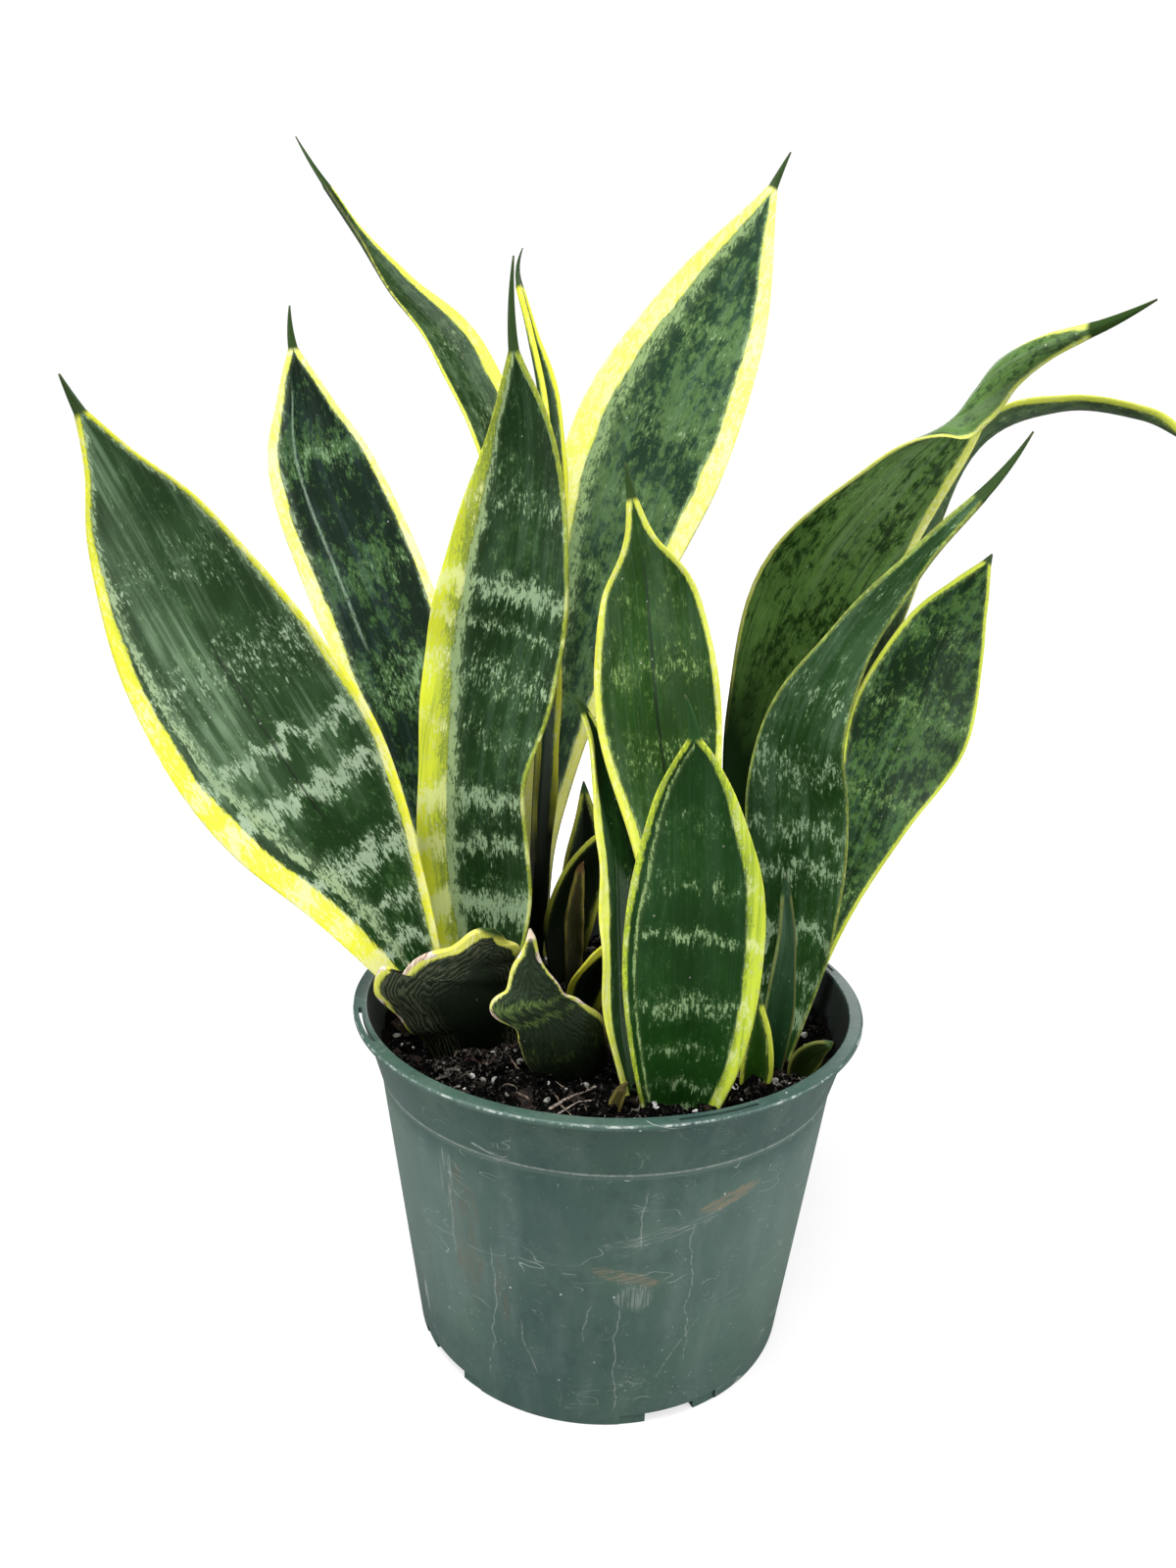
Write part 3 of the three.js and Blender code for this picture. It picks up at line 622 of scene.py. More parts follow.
def loose_stuff(title, dark, pale, roughness=0.75, spread=0.35, shine=0.3, rare=(0.32, 0.68)):
    """Crumb, bark or mineral finish whose tone changes from grain to grain."""
    finish = Finish(title, Specular_IOR_Level=shine)
    x, y, z, point = finish.place()
    tone = finish.noise(point, spread, 2, 0.7)
    fine = finish.noise(point, 1.8, 3, 0.7)
    finish.colour = finish.mix(tone.rise(*rare), shade(*dark), shade(*pale))
    finish.paint(fine.rise(0.35, 0.75) * 0.45, dark, 0.45)
    return finish.coat(roughness + fine * 0.2, fine, 0.0004, 0.8)


bed = roughened("clods", peat()).bake(
    "soil_surface", soil_bed(), clod=1.8, clod_size=10.0, crumb=0.9, crumb_size=3.0)
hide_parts("soil")
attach(bed, "root")

dark_crumbs = loose_stuff("peat crumbs", (2, 2, 2), (104, 98, 92), 0.62, 0.6, 0.04, (0.54, 0.80))
bark = loose_stuff("bark chips", (12, 9, 8), (54, 44, 38), 0.6, 0.2, 0.1)
pale_bark = loose_stuff("weathered bark", (70, 66, 60), (132, 128, 118), 0.75, 0.2)
perlite = loose_stuff("perlite", (176, 174, 168), (240, 240, 236), 0.85, 0.5)
grit = loose_stuff("grey grit", (76, 76, 70), (172, 172, 164), 0.7, 0.4)
rootlets = loose_stuff("fine roots", (84, 70, 58), (160, 144, 126), 0.8, 0.25)
dry_clods = loose_stuff("dried clods", (6, 5, 5), (124, 118, 110), 0.75, 0.55, 0.04, (0.46, 0.76))
red_fibre = loose_stuff("red-brown fibres", (26, 17, 15), (84, 60, 52), 0.7, 0.4)
# What lies loose: name, finish, shape, whether it lies flat, how many to a square metre, seed,
# least and most size, how thick and how long for its width, raggedness and lift (mm), and for
# a heap its x, y and reach.
LOOSE = (
    ("soil_crumbs", dark_crumbs, clod, False, 250000.0, 4, 1.0, 5.2, 0.85, 1.3, 0.8, 0.3),
    ("soil_fines", dark_crumbs, clod, False, 330000.0, 11, 0.5, 1.6, 0.9, 1.2, 0.3, 0.3),
    ("bark_chips", bark, flake, True, 8000.0, 23, 1.6, 6.0, 0.28, 2.0, 1.0, 0.7),
    ("pale_bark_chips", pale_bark, flake, True, 1800.0, 31, 1.2, 4.2, 0.25, 2.6, 0.8, 1.0),
    ("perlite_grains", perlite, grain, False, 11000.0, 43, 0.6, 3.2, 0.9, 1.2, 0.9, 0.8),
    ("grit_grains", grit, grain, False, 7000.0, 57, 1.0, 4.0, 0.8, 1.2, 0.6, 0.6),
    ("root_threads", rootlets, strand, True, 5000.0, 67, 4.0, 13.0, 1.0, 1.0, 0.8, 1.0),
    ("front_clods", dark_crumbs, clod, False, 60000.0, 71, 2.0, 7.5, 0.9, 1.3, 1.4, 0.0,
     -46.0, -46.0, 24.0),
    ("front_heap", dry_clods, clod, False, 90000.0, 97, 1.4, 6.0, 0.9, 1.3, 1.8, 2.2,
     -50.0, -42.0, 17.0),
    ("right_clods", dry_clods, clod, False, 90000.0, 73, 1.4, 5.0, 0.9, 1.2, 1.4, 1.2,
     60.0, -46.0, 17.0),
    ("right_grit", grit, grain, False, 64000.0, 79, 0.6, 2.6, 0.9, 1.2, 0.6, 1.2,
     59.0, -47.0, 17.0),
    ("front_perlite", perlite, grain, False, 26000.0, 83, 0.5, 2.4, 0.9, 1.2, 0.8, 1.2,
     8.0, -72.0, 16.0),
    ("red_fibres", red_fibre, strand, True, 90000.0, 89, 4.0, 9.0, 1.4, 1.0, 1.8, 1.4,
     -44.0, -38.0, 14.0),
)
LOOSE_SIZES = ("density", "seed", "least", "most", "thick", "long", "ragged", "lift",
               "heap_x", "heap_y", "heap")
for title, finish, shape, lies_flat, *numbers in LOOSE:
    sizes = dict(zip(LOOSE_SIZES, numbers))
    tree = scattered(title, finish, shape, lies_flat)
    pieces = tree.bake(title, bed.data, smooth=False, **sizes)
    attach(pieces, "root")


def unit(vector):
    return vector / np.linalg.norm(vector)


TWIG_STEPS = 25
TWIG_SIDES = 7
TWIG_FLATNESS = 0.7
BROKEN_END = 0.55


def stick(name, line, thick, finish):
    """A split twig: a thin rod through the line, ridged and broken off at both ends."""
    line = np.array(line, float)
    spots = np.linspace(0, len(line) - 1, TWIG_STEPS + 1)
    path = np.column_stack([np.interp(spots, range(len(line)), line[:, axis]) for axis in range(3)])
    ahead = np.gradient(path, axis=0)
    points, faces = [], []
    for step, (place, way) in enumerate(zip(path, ahead)):
        side = unit(np.cross(way, (0, 0, 1)))
        above = unit(np.cross(side, way)) * TWIG_FLATNESS
        for cut in range(TWIG_SIDES):
            angle = 2 * math.pi * cut / TWIG_SIDES
            reach = thick / 2 * (0.78 + 0.22 * math.sin(cut * 2.4 + step * 0.37))
            reach *= BROKEN_END if step in (0, TWIG_STEPS) else 1.0
            points.append(place + side * reach * math.cos(angle) + above * reach * math.sin(angle))
    for low in range(0, TWIG_STEPS * TWIG_SIDES, TWIG_SIDES):
        for cut in range(TWIG_SIDES):
            after = (cut + 1) % TWIG_SIDES
            high = low + TWIG_SIDES
            faces.append((low + cut, high + cut, high + after, low + after))
    faces.append(tuple(range(TWIG_SIDES)))
    faces.append(tuple(reversed(range(len(points) - TWIG_SIDES, len(points)))))
    mesh = mesh_of(name, points, faces)
    mesh.materials.append(finish)
    rod = linked(name, mesh)
    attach(rod, "root")


TWIG_LINE = ((-19, -73, 130.0), (-14, -67, 130.4), (-8, -61, 130.0), (-3, -55, 129.2))
THIN_TWIG_LINE = ((-16, -76, 130), (-9, -69, 131), (-2, -66, 130.2))
twig_bark = loose_stuff("split twig", (70, 52, 46), (190, 176, 164), 0.7, 0.9)
stick("twig", TWIG_LINE, 1.3, twig_bark)
stick("thin_twig", THIN_TWIG_LINE, 0.7, twig_bark)


# Left leaves: five tall succulent blades on the left of the clump, each a stiff trough that
# rises from the root stock. Dark green with grey-green cross-bands and broad yellow margins.
MIDRIB_THICKNESS = 2.6
MARGIN_THICKNESS = 1.0
SPIKE_THICKNESS = 0.7
BURIED_LENGTH = 12
# How far the margin's rounding reaches, and the spike's thickness at its foot, of the midrib's.
ROUNDED_EDGE = 0.7
SPIKE_FOOT = 0.7
GROOVE_REACH = 2.2
SPAN_STEPS = 9
SPIKE_STEPS = 10
HALF_CUTS = 12
# An ordinary leaf of the plant; each leaf that is grown names only what is its own. Lengths are
# in mm, tones are red, green and blue from 0 to 255, and most strengths run from 0 to 1.
ORDINARY_LEAF = dict(
    # The margin's ripple (height, pitch, start), its bead (height, width), the midrib's groove.
    ripple=(0.8, 38.0, 0.0), bead=(0.0, 1.0), groove=0.7,
    # Skin tones (dark, mid, pale), and those of stripe, painted sheen, spike, wrinkles and foot.
    tones=((24, 52, 20), (50, 84, 38), (152, 180, 132)), lime=(166, 186, 96),
    bloom=(112, 140, 118), spike_tone=(46, 68, 30), ridge_tone=(66, 74, 44),
    # Cross-bands (distance up, reach, strength each), and how they fade out towards the margins,
    # zigzag, run over the margins and mottle the skin; then the mottling, flecks and smears.
    bands=(), centre=0.3, zigzag=20.0, band_over=0.14, band_mottle=0.0,
    mottle=0.35, mottle_strength=0.6, fleck=0.0, smears=0.0,
    # Margins: tones, how much cream and moss is in them, the frayed inner side with its mossy
    # blend and dark line, the speckled stripe beside it (left, right) and the gap before that.
    yellow=((246, 246, 62), (250, 250, 176)), moss=(176, 196, 56), margin_mix=(0.4, 0.35),
    fray=1.6, blend=3.0, blend_strength=0.45, line=0.1, rust=0.3,
    stripe=(1.5, 1.5), stripe_strength=0.6, gap=(),
    # A crease in painted shade, sunk in the bumps (from, to, depth), a pale glint (place across,
    # from, to, strength), wrinkles, and dry wounds (side, distance up, depth in from the margin,
    # reach up, reach across).
    crease=(0, 0, 0), glint=(0, 0, 1, 0), ridges=0.0, wounds=(),
    # Painted sheen: in streaks, all over, in one stripe (place across, reach, strength), and from
    # where up the blade; then the shader's specular level, roughness and bumps.
    silver=0.12, wax=0.0, sheen=(0.0, 1.0, 0.0), sheen_from=(50.0, 120.0),
    shine=0.17, gloss=0.33, relief=0.6,
    # The painted shade low between the leaves: how high it reaches, how deep it is, and its tone.
    shade_height=30.0, shade_depth=0.0, shade_tone=(6, 12, 3),
)


def through(rows, along):
    """Every column of a leaf's rows at along (0 at the soil, 1 at the spike), on a smooth curve."""
    rows = np.asarray(rows, float)
    last = len(rows) - 1
    place = min(max(along, 0.0), 1.0) * last
    span = min(int(place), last - 1)
    e = place - span
    b, c = rows[span], rows[span + 1]
    a = rows[span - 1] if span > 0 else 2 * b - c
    d = rows[span + 2] if span + 2 <= last else 2 * c - b
    cubic = (3 * b - a - 3 * c + d) * e**3
    return 0.5 * (2 * b + (c - a) * e + (2 * a - 5 * b + 4 * c - d) * e * e + cubic)


def stations(leaf):
    """Place, direction, width, turn, curl, thickness, distance up and lopsidedness, up the leaf."""
    rows = leaf.rows
    steps = (len(rows) - 1) * SPAN_STEPS
    found = []
    length = 0.0
    for step in range(steps + 1):
        x, y, z, width, turn, curl, *skew = through(rows, step / steps)
        ahead = through(rows, min((step + 0.5) / steps, 1))[:3]
        behind = through(rows, max((step - 0.5) / steps, 0))[:3]
        here = np.array((x, y, z))
        length += np.linalg.norm(here - found[-1][0]) if found else 0.0
        ahead = unit(ahead - behind)
        found.append((here, ahead, width, turn, curl, MIDRIB_THICKNESS, length, sum(skew)))
    first, end = found[0], found[-1]
    below = first[0] - BURIED_LENGTH * first[1]
    reach, *bend = leaf.spike
    for step in range(1, SPIKE_STEPS + 1):
        share = step / SPIKE_STEPS
        place = end[0] + end[1] * reach * share + np.array(bend) * share * share
        width = end[2] + (SPIKE_THICKNESS - end[2]) * share
        thick = MIDRIB_THICKNESS * SPIKE_FOOT * (1 - share) + SPIKE_THICKNESS * share
        found.append((place, end[1], width, end[3], end[4] * (1 - share), thick,
                      length + reach * share, end[7]))
    buried = (below, *first[1:6], -BURIED_LENGTH, first[7])
    return [buried, *found], length


def blade_loop(station, leaf, length):
    """One closed cut across the blade: over its upper face from margin to margin, and back."""
    place, ahead, width, turn, curl, thick, along, skew = station
    front = np.array((0.0, -1.0, 0.0))
    front = unit(front - ahead * front.dot(ahead))
    turned = math.radians(turn)
    face = front * math.cos(turned) + np.cross(ahead, front) * math.sin(turned)
    side = np.cross(ahead, face)
    bend = math.radians(max(curl, 2))
    half = max(width, SPIKE_THICKNESS) / 2
    radius = half / bend
    share = np.sin(np.linspace(-1, 1, 2 * HALF_CUTS + 1) * math.pi / 2)
    angle = (share + skew) * bend
    growth = min(max(along / length, 0.0), 1.0)
    swell = math.sin(math.pi * growth) ** 0.5
    ripple, pitch, start = leaf.ripple
    wave = ripple * swell * np.abs(share) ** 3
    wave = wave * np.sin(2 * math.pi * along / pitch + start + np.sign(share) * 1.3)
    slow = 0.5 * swell * np.sin(2 * math.pi * along / (pitch * 2.3) + start * 2) * share
    across = share * half
    groove = leaf.groove * min(half / 12, 1) * np.exp(-((across / GROOVE_REACH) ** 2))
    spine = place + np.outer(np.sin(angle) * radius, side)
    spine = spine + np.outer(radius * (1 - np.cos(angle)) + wave + slow, face)
    out = np.outer(np.cos(angle), face) - np.outer(np.sin(angle), side)
    margin = min(MARGIN_THICKNESS, thick)
    body = (thick + (margin - thick) * share**2) / 2
    edge = np.clip((half - np.abs(across)) / ROUNDED_EDGE, 0, 1)
    round_off = np.sqrt(np.clip(1 - (1 - edge) ** 2, 0, 1))
    bead, bead_width = leaf.bead
    bead = bead * min(half / 8, 1) * np.exp(-(((half - np.abs(across)) / bead_width - 0.8) ** 2))
    over = (body + bead) * round_off - groove * swell
    under = (body + bead * 0.5) * round_off
    upper = spine + out * over[:, None]
    lower = (spine - out * under[:, None])[1:-1][::-1]
    marks = [(s, along, half, 0.0) for s in share]
    marks += [(s, along, half, 1.0) for s in share[1:-1][::-1]]
    return np.vstack((upper, lower)), marks


def rim_distances(cuts):
    """For each point across and along the blade, how far it is from its own side's outline."""
    share = np.sin(np.linspace(-1, 1, 2 * HALF_CUTS + 1) * math.pi / 2)
    share = np.concatenate((share, share[1:-1][::-1]))
    half = np.array([max(cut[2], SPIKE_THICKNESS) / 2 for cut in cuts])
    along = np.array([cut[6] for cut in cuts])
    skew = np.array([cut[7] for cut in cuts])
    fine = np.linspace(0, len(cuts) - 1, len(cuts) * 5)
    spots = np.arange(len(cuts))
    outline_along = np.interp(fine, spots, along)
    found = np.zeros((len(cuts), len(share)))
    for side in (-1, 1):
        outline_across = np.interp(fine, spots, (side + skew) * half)
        own = share * side >= 0
        across = (share[None, own] + skew[:, None]) * half[:, None]
        gap = np.hypot(across[:, :, None] - outline_across, along[:, None, None] - outline_along)
        found[:, own] = gap.min(axis=2)
    return found.ravel()


def blade_mesh(title, leaf):
    """The blade as loops joined up its length, closed at the soil and at the spike's point."""
    cuts, length = stations(leaf)
    points, marks = [], []
    for station in cuts:
        loop, mark = blade_loop(station, leaf, length)
        points.append(loop)
        marks += mark
    size = len(points[0])
    faces = []
    for row in range(len(cuts) - 1):
        for cut in range(size):
            after = (cut + 1) % size
            low, high = row * size, (row + 1) * size
            faces.append((low + after, low + cut, high + cut, high + after))
    faces.append(tuple(range(size)))
    faces.append(tuple(reversed(range(len(cuts) * size - size, len(cuts) * size))))
    mesh = mesh_of(title, np.vstack(points), faces)
    marks = np.array(marks, np.float32)
    blade = mesh.attributes.new("blade", "FLOAT_VECTOR", "POINT")
    blade.data.foreach_set("vector", marks[:, :3].ravel())
    side = mesh.attributes.new("side", "FLOAT_VECTOR", "POINT")
    sides = np.column_stack((rim_distances(cuts), marks[:, 3], marks[:, 3]))
    side.data.foreach_set("vector", sides.astype(np.float32).ravel())
    mesh.polygons.foreach_set("use_smooth", [True] * len(mesh.polygons))
    return mesh, length


def widths(finish, along, length, steps):
    """A margin's width, which changes up the leaf: steps of distance and width, in mm."""
    stops = [(min(max(at / length, 0), 1), wide / 20) for at, wide in steps]
    return finish.node("ShaderNodeValToRGB", {"stops": stops}, {0: along / length}) * 20.0


def leaf_skin(title, leaf, length):
    """Waxy green skin with speckled pale cross-bands, mottling, streaks, yellow margins, painted
    sheen and shade.
    """
    finish = Finish(title + " skin", Specular_IOR_Level=leaf.shine, IOR=1.42)
    seed = leaf.seed * 17.31

    def marks_of(attribute):
        settings = {"attribute_name": attribute}
        return finish.node("ShaderNodeAttribute", settings, out="Vector").parts()

    share, along, half = marks_of("blade")
    inward, under, _ = marks_of("side")
    across = share * half
    right = share.rise(-0.02, 0.02)

    def field(wide, long, step, detail=2.0, roughness=0.6):
        """A noise whose marks are stretched along the blade; wide and long are in mm."""
        place = finish.at(across / wide, along / long, seed + step)
        return finish.noise(place, 1.0, detail, roughness)

    coarse = field(6.0, 30.0, 0.0)
    fringe = field(0.8, 7.0, 5.0)
    ragged = along + (coarse - 0.5) * leaf.zigzag + (fringe - 0.5) * 9.0
    streak = field(0.45, 60.0, 9.0, 3.0)
    thread = field(0.2, 25.0, 2.0, 1.0)
    ridge = field(3.0, 120.0, 13.0, 3.0)
    cloud = field(18.0, 36.0, 21.0)
    blotch = field(3.4, 6.0, 3.0, 4.0, 0.7)
    fleck = field(0.8, 2.4, 31.0, 4.0, 0.75)

    # Cross-bands: their density rises to each band's middle, and a speckle breaks them up.
    stops = [(0.0, 0.0)]
    for at, high, strength in leaf.bands:
        middle, reach = at / length, high / length
        stops += [(middle - reach, 0.0), (middle, strength), (middle + reach, 0.0)]
    stops = sorted((min(max(place, 0), 1), value) for place, value in stops)
    band = finish.node("ShaderNodeValToRGB", {"stops": stops}, {0: ragged / length})
    band = band * (1.0 - share * share * leaf.centre)

    # Margins: a yellow edge with a ragged inner side, and a speckled stripe along it.
    left_width = widths(finish, along, length, leaf.left)
    right_width = widths(finish, along, length, leaf.right)
    width = left_width + (right_width - left_width) * right
    side_seed = right * 40.0 + (seed + 50.0)
    wander = finish.noise(finish.at(side_seed, along * 0.045, 3.0), 1.0, 2, 0.5)
    inner = inward + (wander - 0.5) * (width * 0.6).least(4.0) + (streak - 0.5) * (width * 0.3)
    inner = inner + (fringe - 0.5) * 0.8 + (fleck - 0.5) * leaf.fray
    stripe_left, stripe_right = leaf.stripe
    widest = 1.0 / max(wide for _, wide in (*leaf.left, *leaf.right))
    stripe = (right * (stripe_right - stripe_left) + stripe_left) * (width * widest * 0.8 + 0.2)
    beyond = inner - width
    wide_enough = width.rise(0.3, 1.0)
    outside = beyond
    if leaf.gap:
        outside = beyond - widths(finish, along, length, leaf.gap) * (1.0 - right)
    stripe_density = outside.rise(-0.4, 0.6) * (outside / stripe.most(0.01)).rise(1.6, 0.1)
    stripe_density = stripe_density * wide_enough * leaf.stripe_strength

    density = stripe_density.most(band)
    speckle = fleck * 0.5 + blotch * 0.3 + fringe * 0.2
    flecked = speckle + density * 0.23 + leaf.fleck
    pale_mask = flecked.rise(0.628, 0.665)
    halo_mask = flecked.rise(0.54, 0.65)
    mottle = blotch * 0.7 + fleck * 0.3 + (leaf.mottle - 0.5) * 0.4
    mottle = mottle + (cloud - 0.5) * 0.35 + band * leaf.band_mottle
    mottle_mask = mottle.rise(0.48, 0.60)

    dark, mid, pale = leaf.tones
    half_pale = [(a + b) / 2 for a, b in zip(mid, pale)]
    finish.colour = finish.mix(cloud.rise(0.3, 0.7), shade(*dark), shade(*dark, 1.2))
    finish.paint(mottle_mask * leaf.mottle_strength, mid)
    finish.paint((streak - 0.5) * 1.2 + 0.1, dark, 0.5)
    finish.paint(stripe_density * 0.38, leaf.lime, 0.62)
    smears = field(2.2, 46.0, 61.0, 4.0, 0.75).rise(0.52, 0.66) * leaf.smears
    finish.paint(smears, dark, 0.7)
    finish.paint(halo_mask * 0.3, half_pale)
    flecks = finish.mix(stripe_density * 1.3, shade(*pale), shade(*leaf.lime))
    flecks = finish.mix(cloud.rise(0.3, 0.8) * 0.35, flecks, shade(*pale, 0.8))
    finish.paint(pale_mask * (0.70 + thread * 0.3), flecks)
    # Painted shade: a dark line along the midrib's crease, which the bumps also sink.
    start, stop, depth = leaf.crease
    crease = abs(across + (coarse - 0.5) * 1.5).rise(1.0, 0.15)
    if depth:
        crease = crease * along.rise(start, start + 12) * along.rise(stop, stop - 20)
        finish.paint(crease * depth, dark, 0.4)
    line = abs(beyond - 0.6).rise(0.9, 0.2) * wide_enough
    finish.paint(line * leaf.line, dark, 0.7)

    # Painted sheen: streaks and an even wash of a paler tone are painted where light glances off
    # the skin.
    sheen = ridge.rise(0.45, 0.60) * cloud.rise(0.28, 0.62) + cloud.rise(0.4, 0.85) * 0.4
    sheen_at, sheen_reach, sheen_strength = leaf.sheen
    if sheen_strength:
        lit = abs(share - sheen_at + (coarse - 0.5) * 0.2).rise(sheen_reach, sheen_reach * 0.2)
        sheen = sheen + lit * sheen_strength * (ridge.rise(0.35, 0.62) * 0.7 + streak * 0.6)
    sheen = (sheen + leaf.wax) * (0.8 + thread * 0.4)
    sheen = sheen * (along + coarse * 60.0).rise(*leaf.sheen_from)
    finish.paint(sheen * leaf.silver, leaf.bloom)
    glint_at, glint_start, glint_stop, glint_strength = leaf.glint
    if glint_strength:
        glint = abs(share - glint_at + (coarse - 0.5) * 0.08).rise(0.045, 0.0)
        glint = glint * fleck.rise(0.3, 0.55) * along.rise(glint_start, glint_start + 15)
        glint = glint * along.rise(glint_stop, glint_stop - 15)
        finish.paint(glint * glint_strength, (150, 172, 150))

    yellow, cream = leaf.yellow
    moss = leaf.moss
    whiten, greens = leaf.margin_mix
    blend = beyond.rise(-leaf.blend, 0.2) * leaf.blend_strength
    edge = finish.mix(blend, shade(*yellow), shade(*moss))
    green = field(1.2, 45.0, 77.0) + (greens - 0.5) * 0.45
    edge = finish.mix(green.rise(0.5, 0.75) * 0.7, edge, shade(*moss))
    dulled = speckle + (greens - 0.5) * 0.3 + blend * 0.22
    edge = finish.mix(dulled.rise(0.56, 0.63) * 0.75, edge, shade(*moss, 0.82))
    whitish = speckle + (whiten - 0.5) * 0.35 + band * leaf.band_over
    edge = finish.mix(whitish.rise(0.50, 0.60) * 0.85, edge, shade(*cream))
    edge = finish.mix((thread - 0.5) * 0.25 + 0.02, edge, shade(150, 150, 50))
    margin = beyond.rise(0.4, -0.4) * width.rise(0.05, 0.4)
    finish.paint(margin, edge)
    outline = inward.rise(0.7, 0.2) * leaf.rust
    finish.paint(outline * fleck.rise(0.3, 0.6), (130, 106, 50))
    torn = (blotch - 0.5) * 2.2 + (fleck - 0.5) * 1.2
    for side, at, deep_at, high, deep in leaf.wounds:
        rise = (along - at) / high
        off = (inward - deep_at) / deep
        patch = (rise * rise + off * off + torn).rise(1.0, 0.6)
        patch = patch * (right if side > 0 else 1.0 - right)
        dry = finish.mix(fleck.rise(0.38, 0.6), shade(150, 112, 88), shade(240, 226, 212))
        finish.paint(patch, dry)

    # Water spots, the green spike and the shade between the leaves.
    finish.paint(under * 0.1, (110, 132, 104))
    drops, luck = finish.cells(finish.at(across, along, seed), 0.22)
    dust = drops.rise(0.10, 0.04) * luck.rise(0.86, 0.93)
    finish.paint(dust * 0.5, (214, 220, 206))
    tip = along.rise(length - 2.0, length + 0.5)
    finish.paint(tip, leaf.spike_tone)
    end = along.rise(length + leaf.spike[0] * 0.8, length + leaf.spike[0])
    finish.paint(end * 0.4, (84, 74, 50))
    low = along + (cloud - 0.5) * leaf.shade_height * 0.3 + across * 0.4
    low = low.rise(leaf.shade_height, 0.0) * leaf.shade_depth
    finish.paint(low, leaf.shade_tone)
    gloss = leaf.gloss + cloud * 0.14 + (streak - 0.5) * 0.1 + dust * 0.2
    height = ridge * 0.6 + streak * 0.18 + thread * 0.05 + fleck * 0.12 - crease * 0.4
    if leaf.ridges:
        arcs = ((inward + (coarse - 0.5) * 7.0 + (blotch - 0.5) * 4.0) * 4.2).sum("SINE")
        arcs = (arcs * 0.5 + 0.5) * inward.rise(24.0, 4.0) * (1.0 - margin)
        height = height + arcs * leaf.ridges
        finish.paint((arcs.rise(0.3, 0.8) * 0.8 * leaf.ridges).clamped(), leaf.ridge_tone)
    return finish.coat(gloss.clamped(), height, 0.0005, leaf.relief)


def grow(title, slot="leaf", **own):
    """Makes one leaf of the plant in place of its plain solid."""
    leaf = SimpleNamespace(**{**ORDINARY_LEAF, **own})
    mesh, length = blade_mesh(title + "_blade", leaf)
    mesh.materials.append(leaf_skin(title, leaf, length))
    blade = linked(title + "_blade", mesh)
    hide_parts(title)
    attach(blade, "root")


grow(
    "leaf_far_left", spike=(11, 0, 0, 1),
    rows=(
        (-65, -9, 126, 14, 20, 80), (-93, -8, 181, 47, 20, 45), (-119, -18, 232, 74, 20, 30),
        (-141, -32, 280, 68, 21, 27), (-156, -48, 324, 42, 23, 33), (-162, -59, 345, 17, 24, 40),
        (-166, -66, 358, 4, 25, 45),
    ),
    seed=1, silver=0.5, wax=0.1, sheen=(-0.3, 0.5, 0.5), sheen_from=(110, 190),
    ripple=(0.5, 46.0, 1.5), margin_mix=(0.5, 0.15), shine=0.26,
    tones=((18, 50, 10), (48, 90, 34), (180, 202, 170)), bloom=(122, 150, 116), centre=0.0,
    left=((0, 8), (60, 11), (120, 9), (190, 4.5), (230, 2), (250, 1.2)),
    right=((0, 3), (60, 3.6), (150, 3.4), (200, 1.8), (250, 0.9)),
    gap=((0, 3), (120, 4), (170, 2), (215, 0)), stripe=(7.0, 6.0), stripe_strength=0.66,
    crease=(95, 190, 0.8), mottle=0.40, fleck=0.016, line=0.0, zigzag=22.0, lime=(172, 194, 144),
    fray=2.6,
    bands=((134, 7, 0.78), (113, 9, 0.84), (78, 11, 0.8), (58, 8, 0.6), (40, 8, 0.8),
           (170, 24, 0.4), (205, 20, 0.3), (20, 9, 0.76), (5, 6, 0.7)),
)
grow(
    "leaf_back_left", spike=(15, 2, 0, 1),
    rows=(
        (-66, 27, 125, 14, 12, 80), (-70, 34, 187, 28, 12, 45), (-82, 41, 242, 43, 12, 30),
        (-103, 50, 293, 51, 12, 27), (-125, 60, 343, 45, 12, 32), (-132, 61, 372, 22, 12, 40),
        (-135, 60, 390, 4, 12, 45),
    ),
    seed=2, silver=0.14, ripple=(0.8, 52.0, 1.7), mottle=0.46, mottle_strength=0.85, fray=2.4,
    band_mottle=0.24, tones=((13, 31, 17), (58, 90, 44), (122, 150, 112)), margin_mix=(0.6, 0.1),
    bloom=(78, 98, 108), left=((0, 1.5), (100, 2), (140, 3.5), (175, 6.5), (230, 5), (270, 2)),
    right=((0, 3), (120, 4.5), (270, 2)), stripe=(3.5, 2.5), lime=(156, 168, 140),
    glint=(-0.42, 150, 270, 0.6), yellow=((242, 245, 120), (246, 248, 190)),
    bands=((238, 12, 0.55), (186, 16, 0.4), (136, 24, 0.55), (90, 22, 0.45), (50, 20, 0.45)),
    line=0.0,
)
grow(
    "leaf_arched_left", spike=(24, 0, 0, 2),
    rows=(
        (-53, 54, 124, 14, 10, 80), (-55, 69, 196, 20, 14, 55), (-51, 83, 266, 25, 20, 40),
        (-48, 96, 334, 28, 27, 32), (-76, 112, 393, 27, 36, 42), (-104, 120, 422, 18, 45, 60),
        (-122, 124, 445, 8, 58, 70), (-136, 128, 464, 5, 68, 70),
    ),
    seed=3, silver=0.15, ripple=(0.7, 50.0, 2.4), mottle=0.5,
    left=((0, 2), (250, 1.6), (310, 0.4), (370, 0)),
    right=((0, 6), (240, 7), (300, 4), (340, 1.4), (370, 0.6)),
    tones=((30, 52, 22), (76, 98, 62), (140, 160, 120)), yellow=((240, 242, 96), (246, 248, 180)),
    bands=((210, 12, 0.4), (250, 12, 0.4), (290, 12, 0.4)), shade_height=190.0, shade_depth=0.8,
)
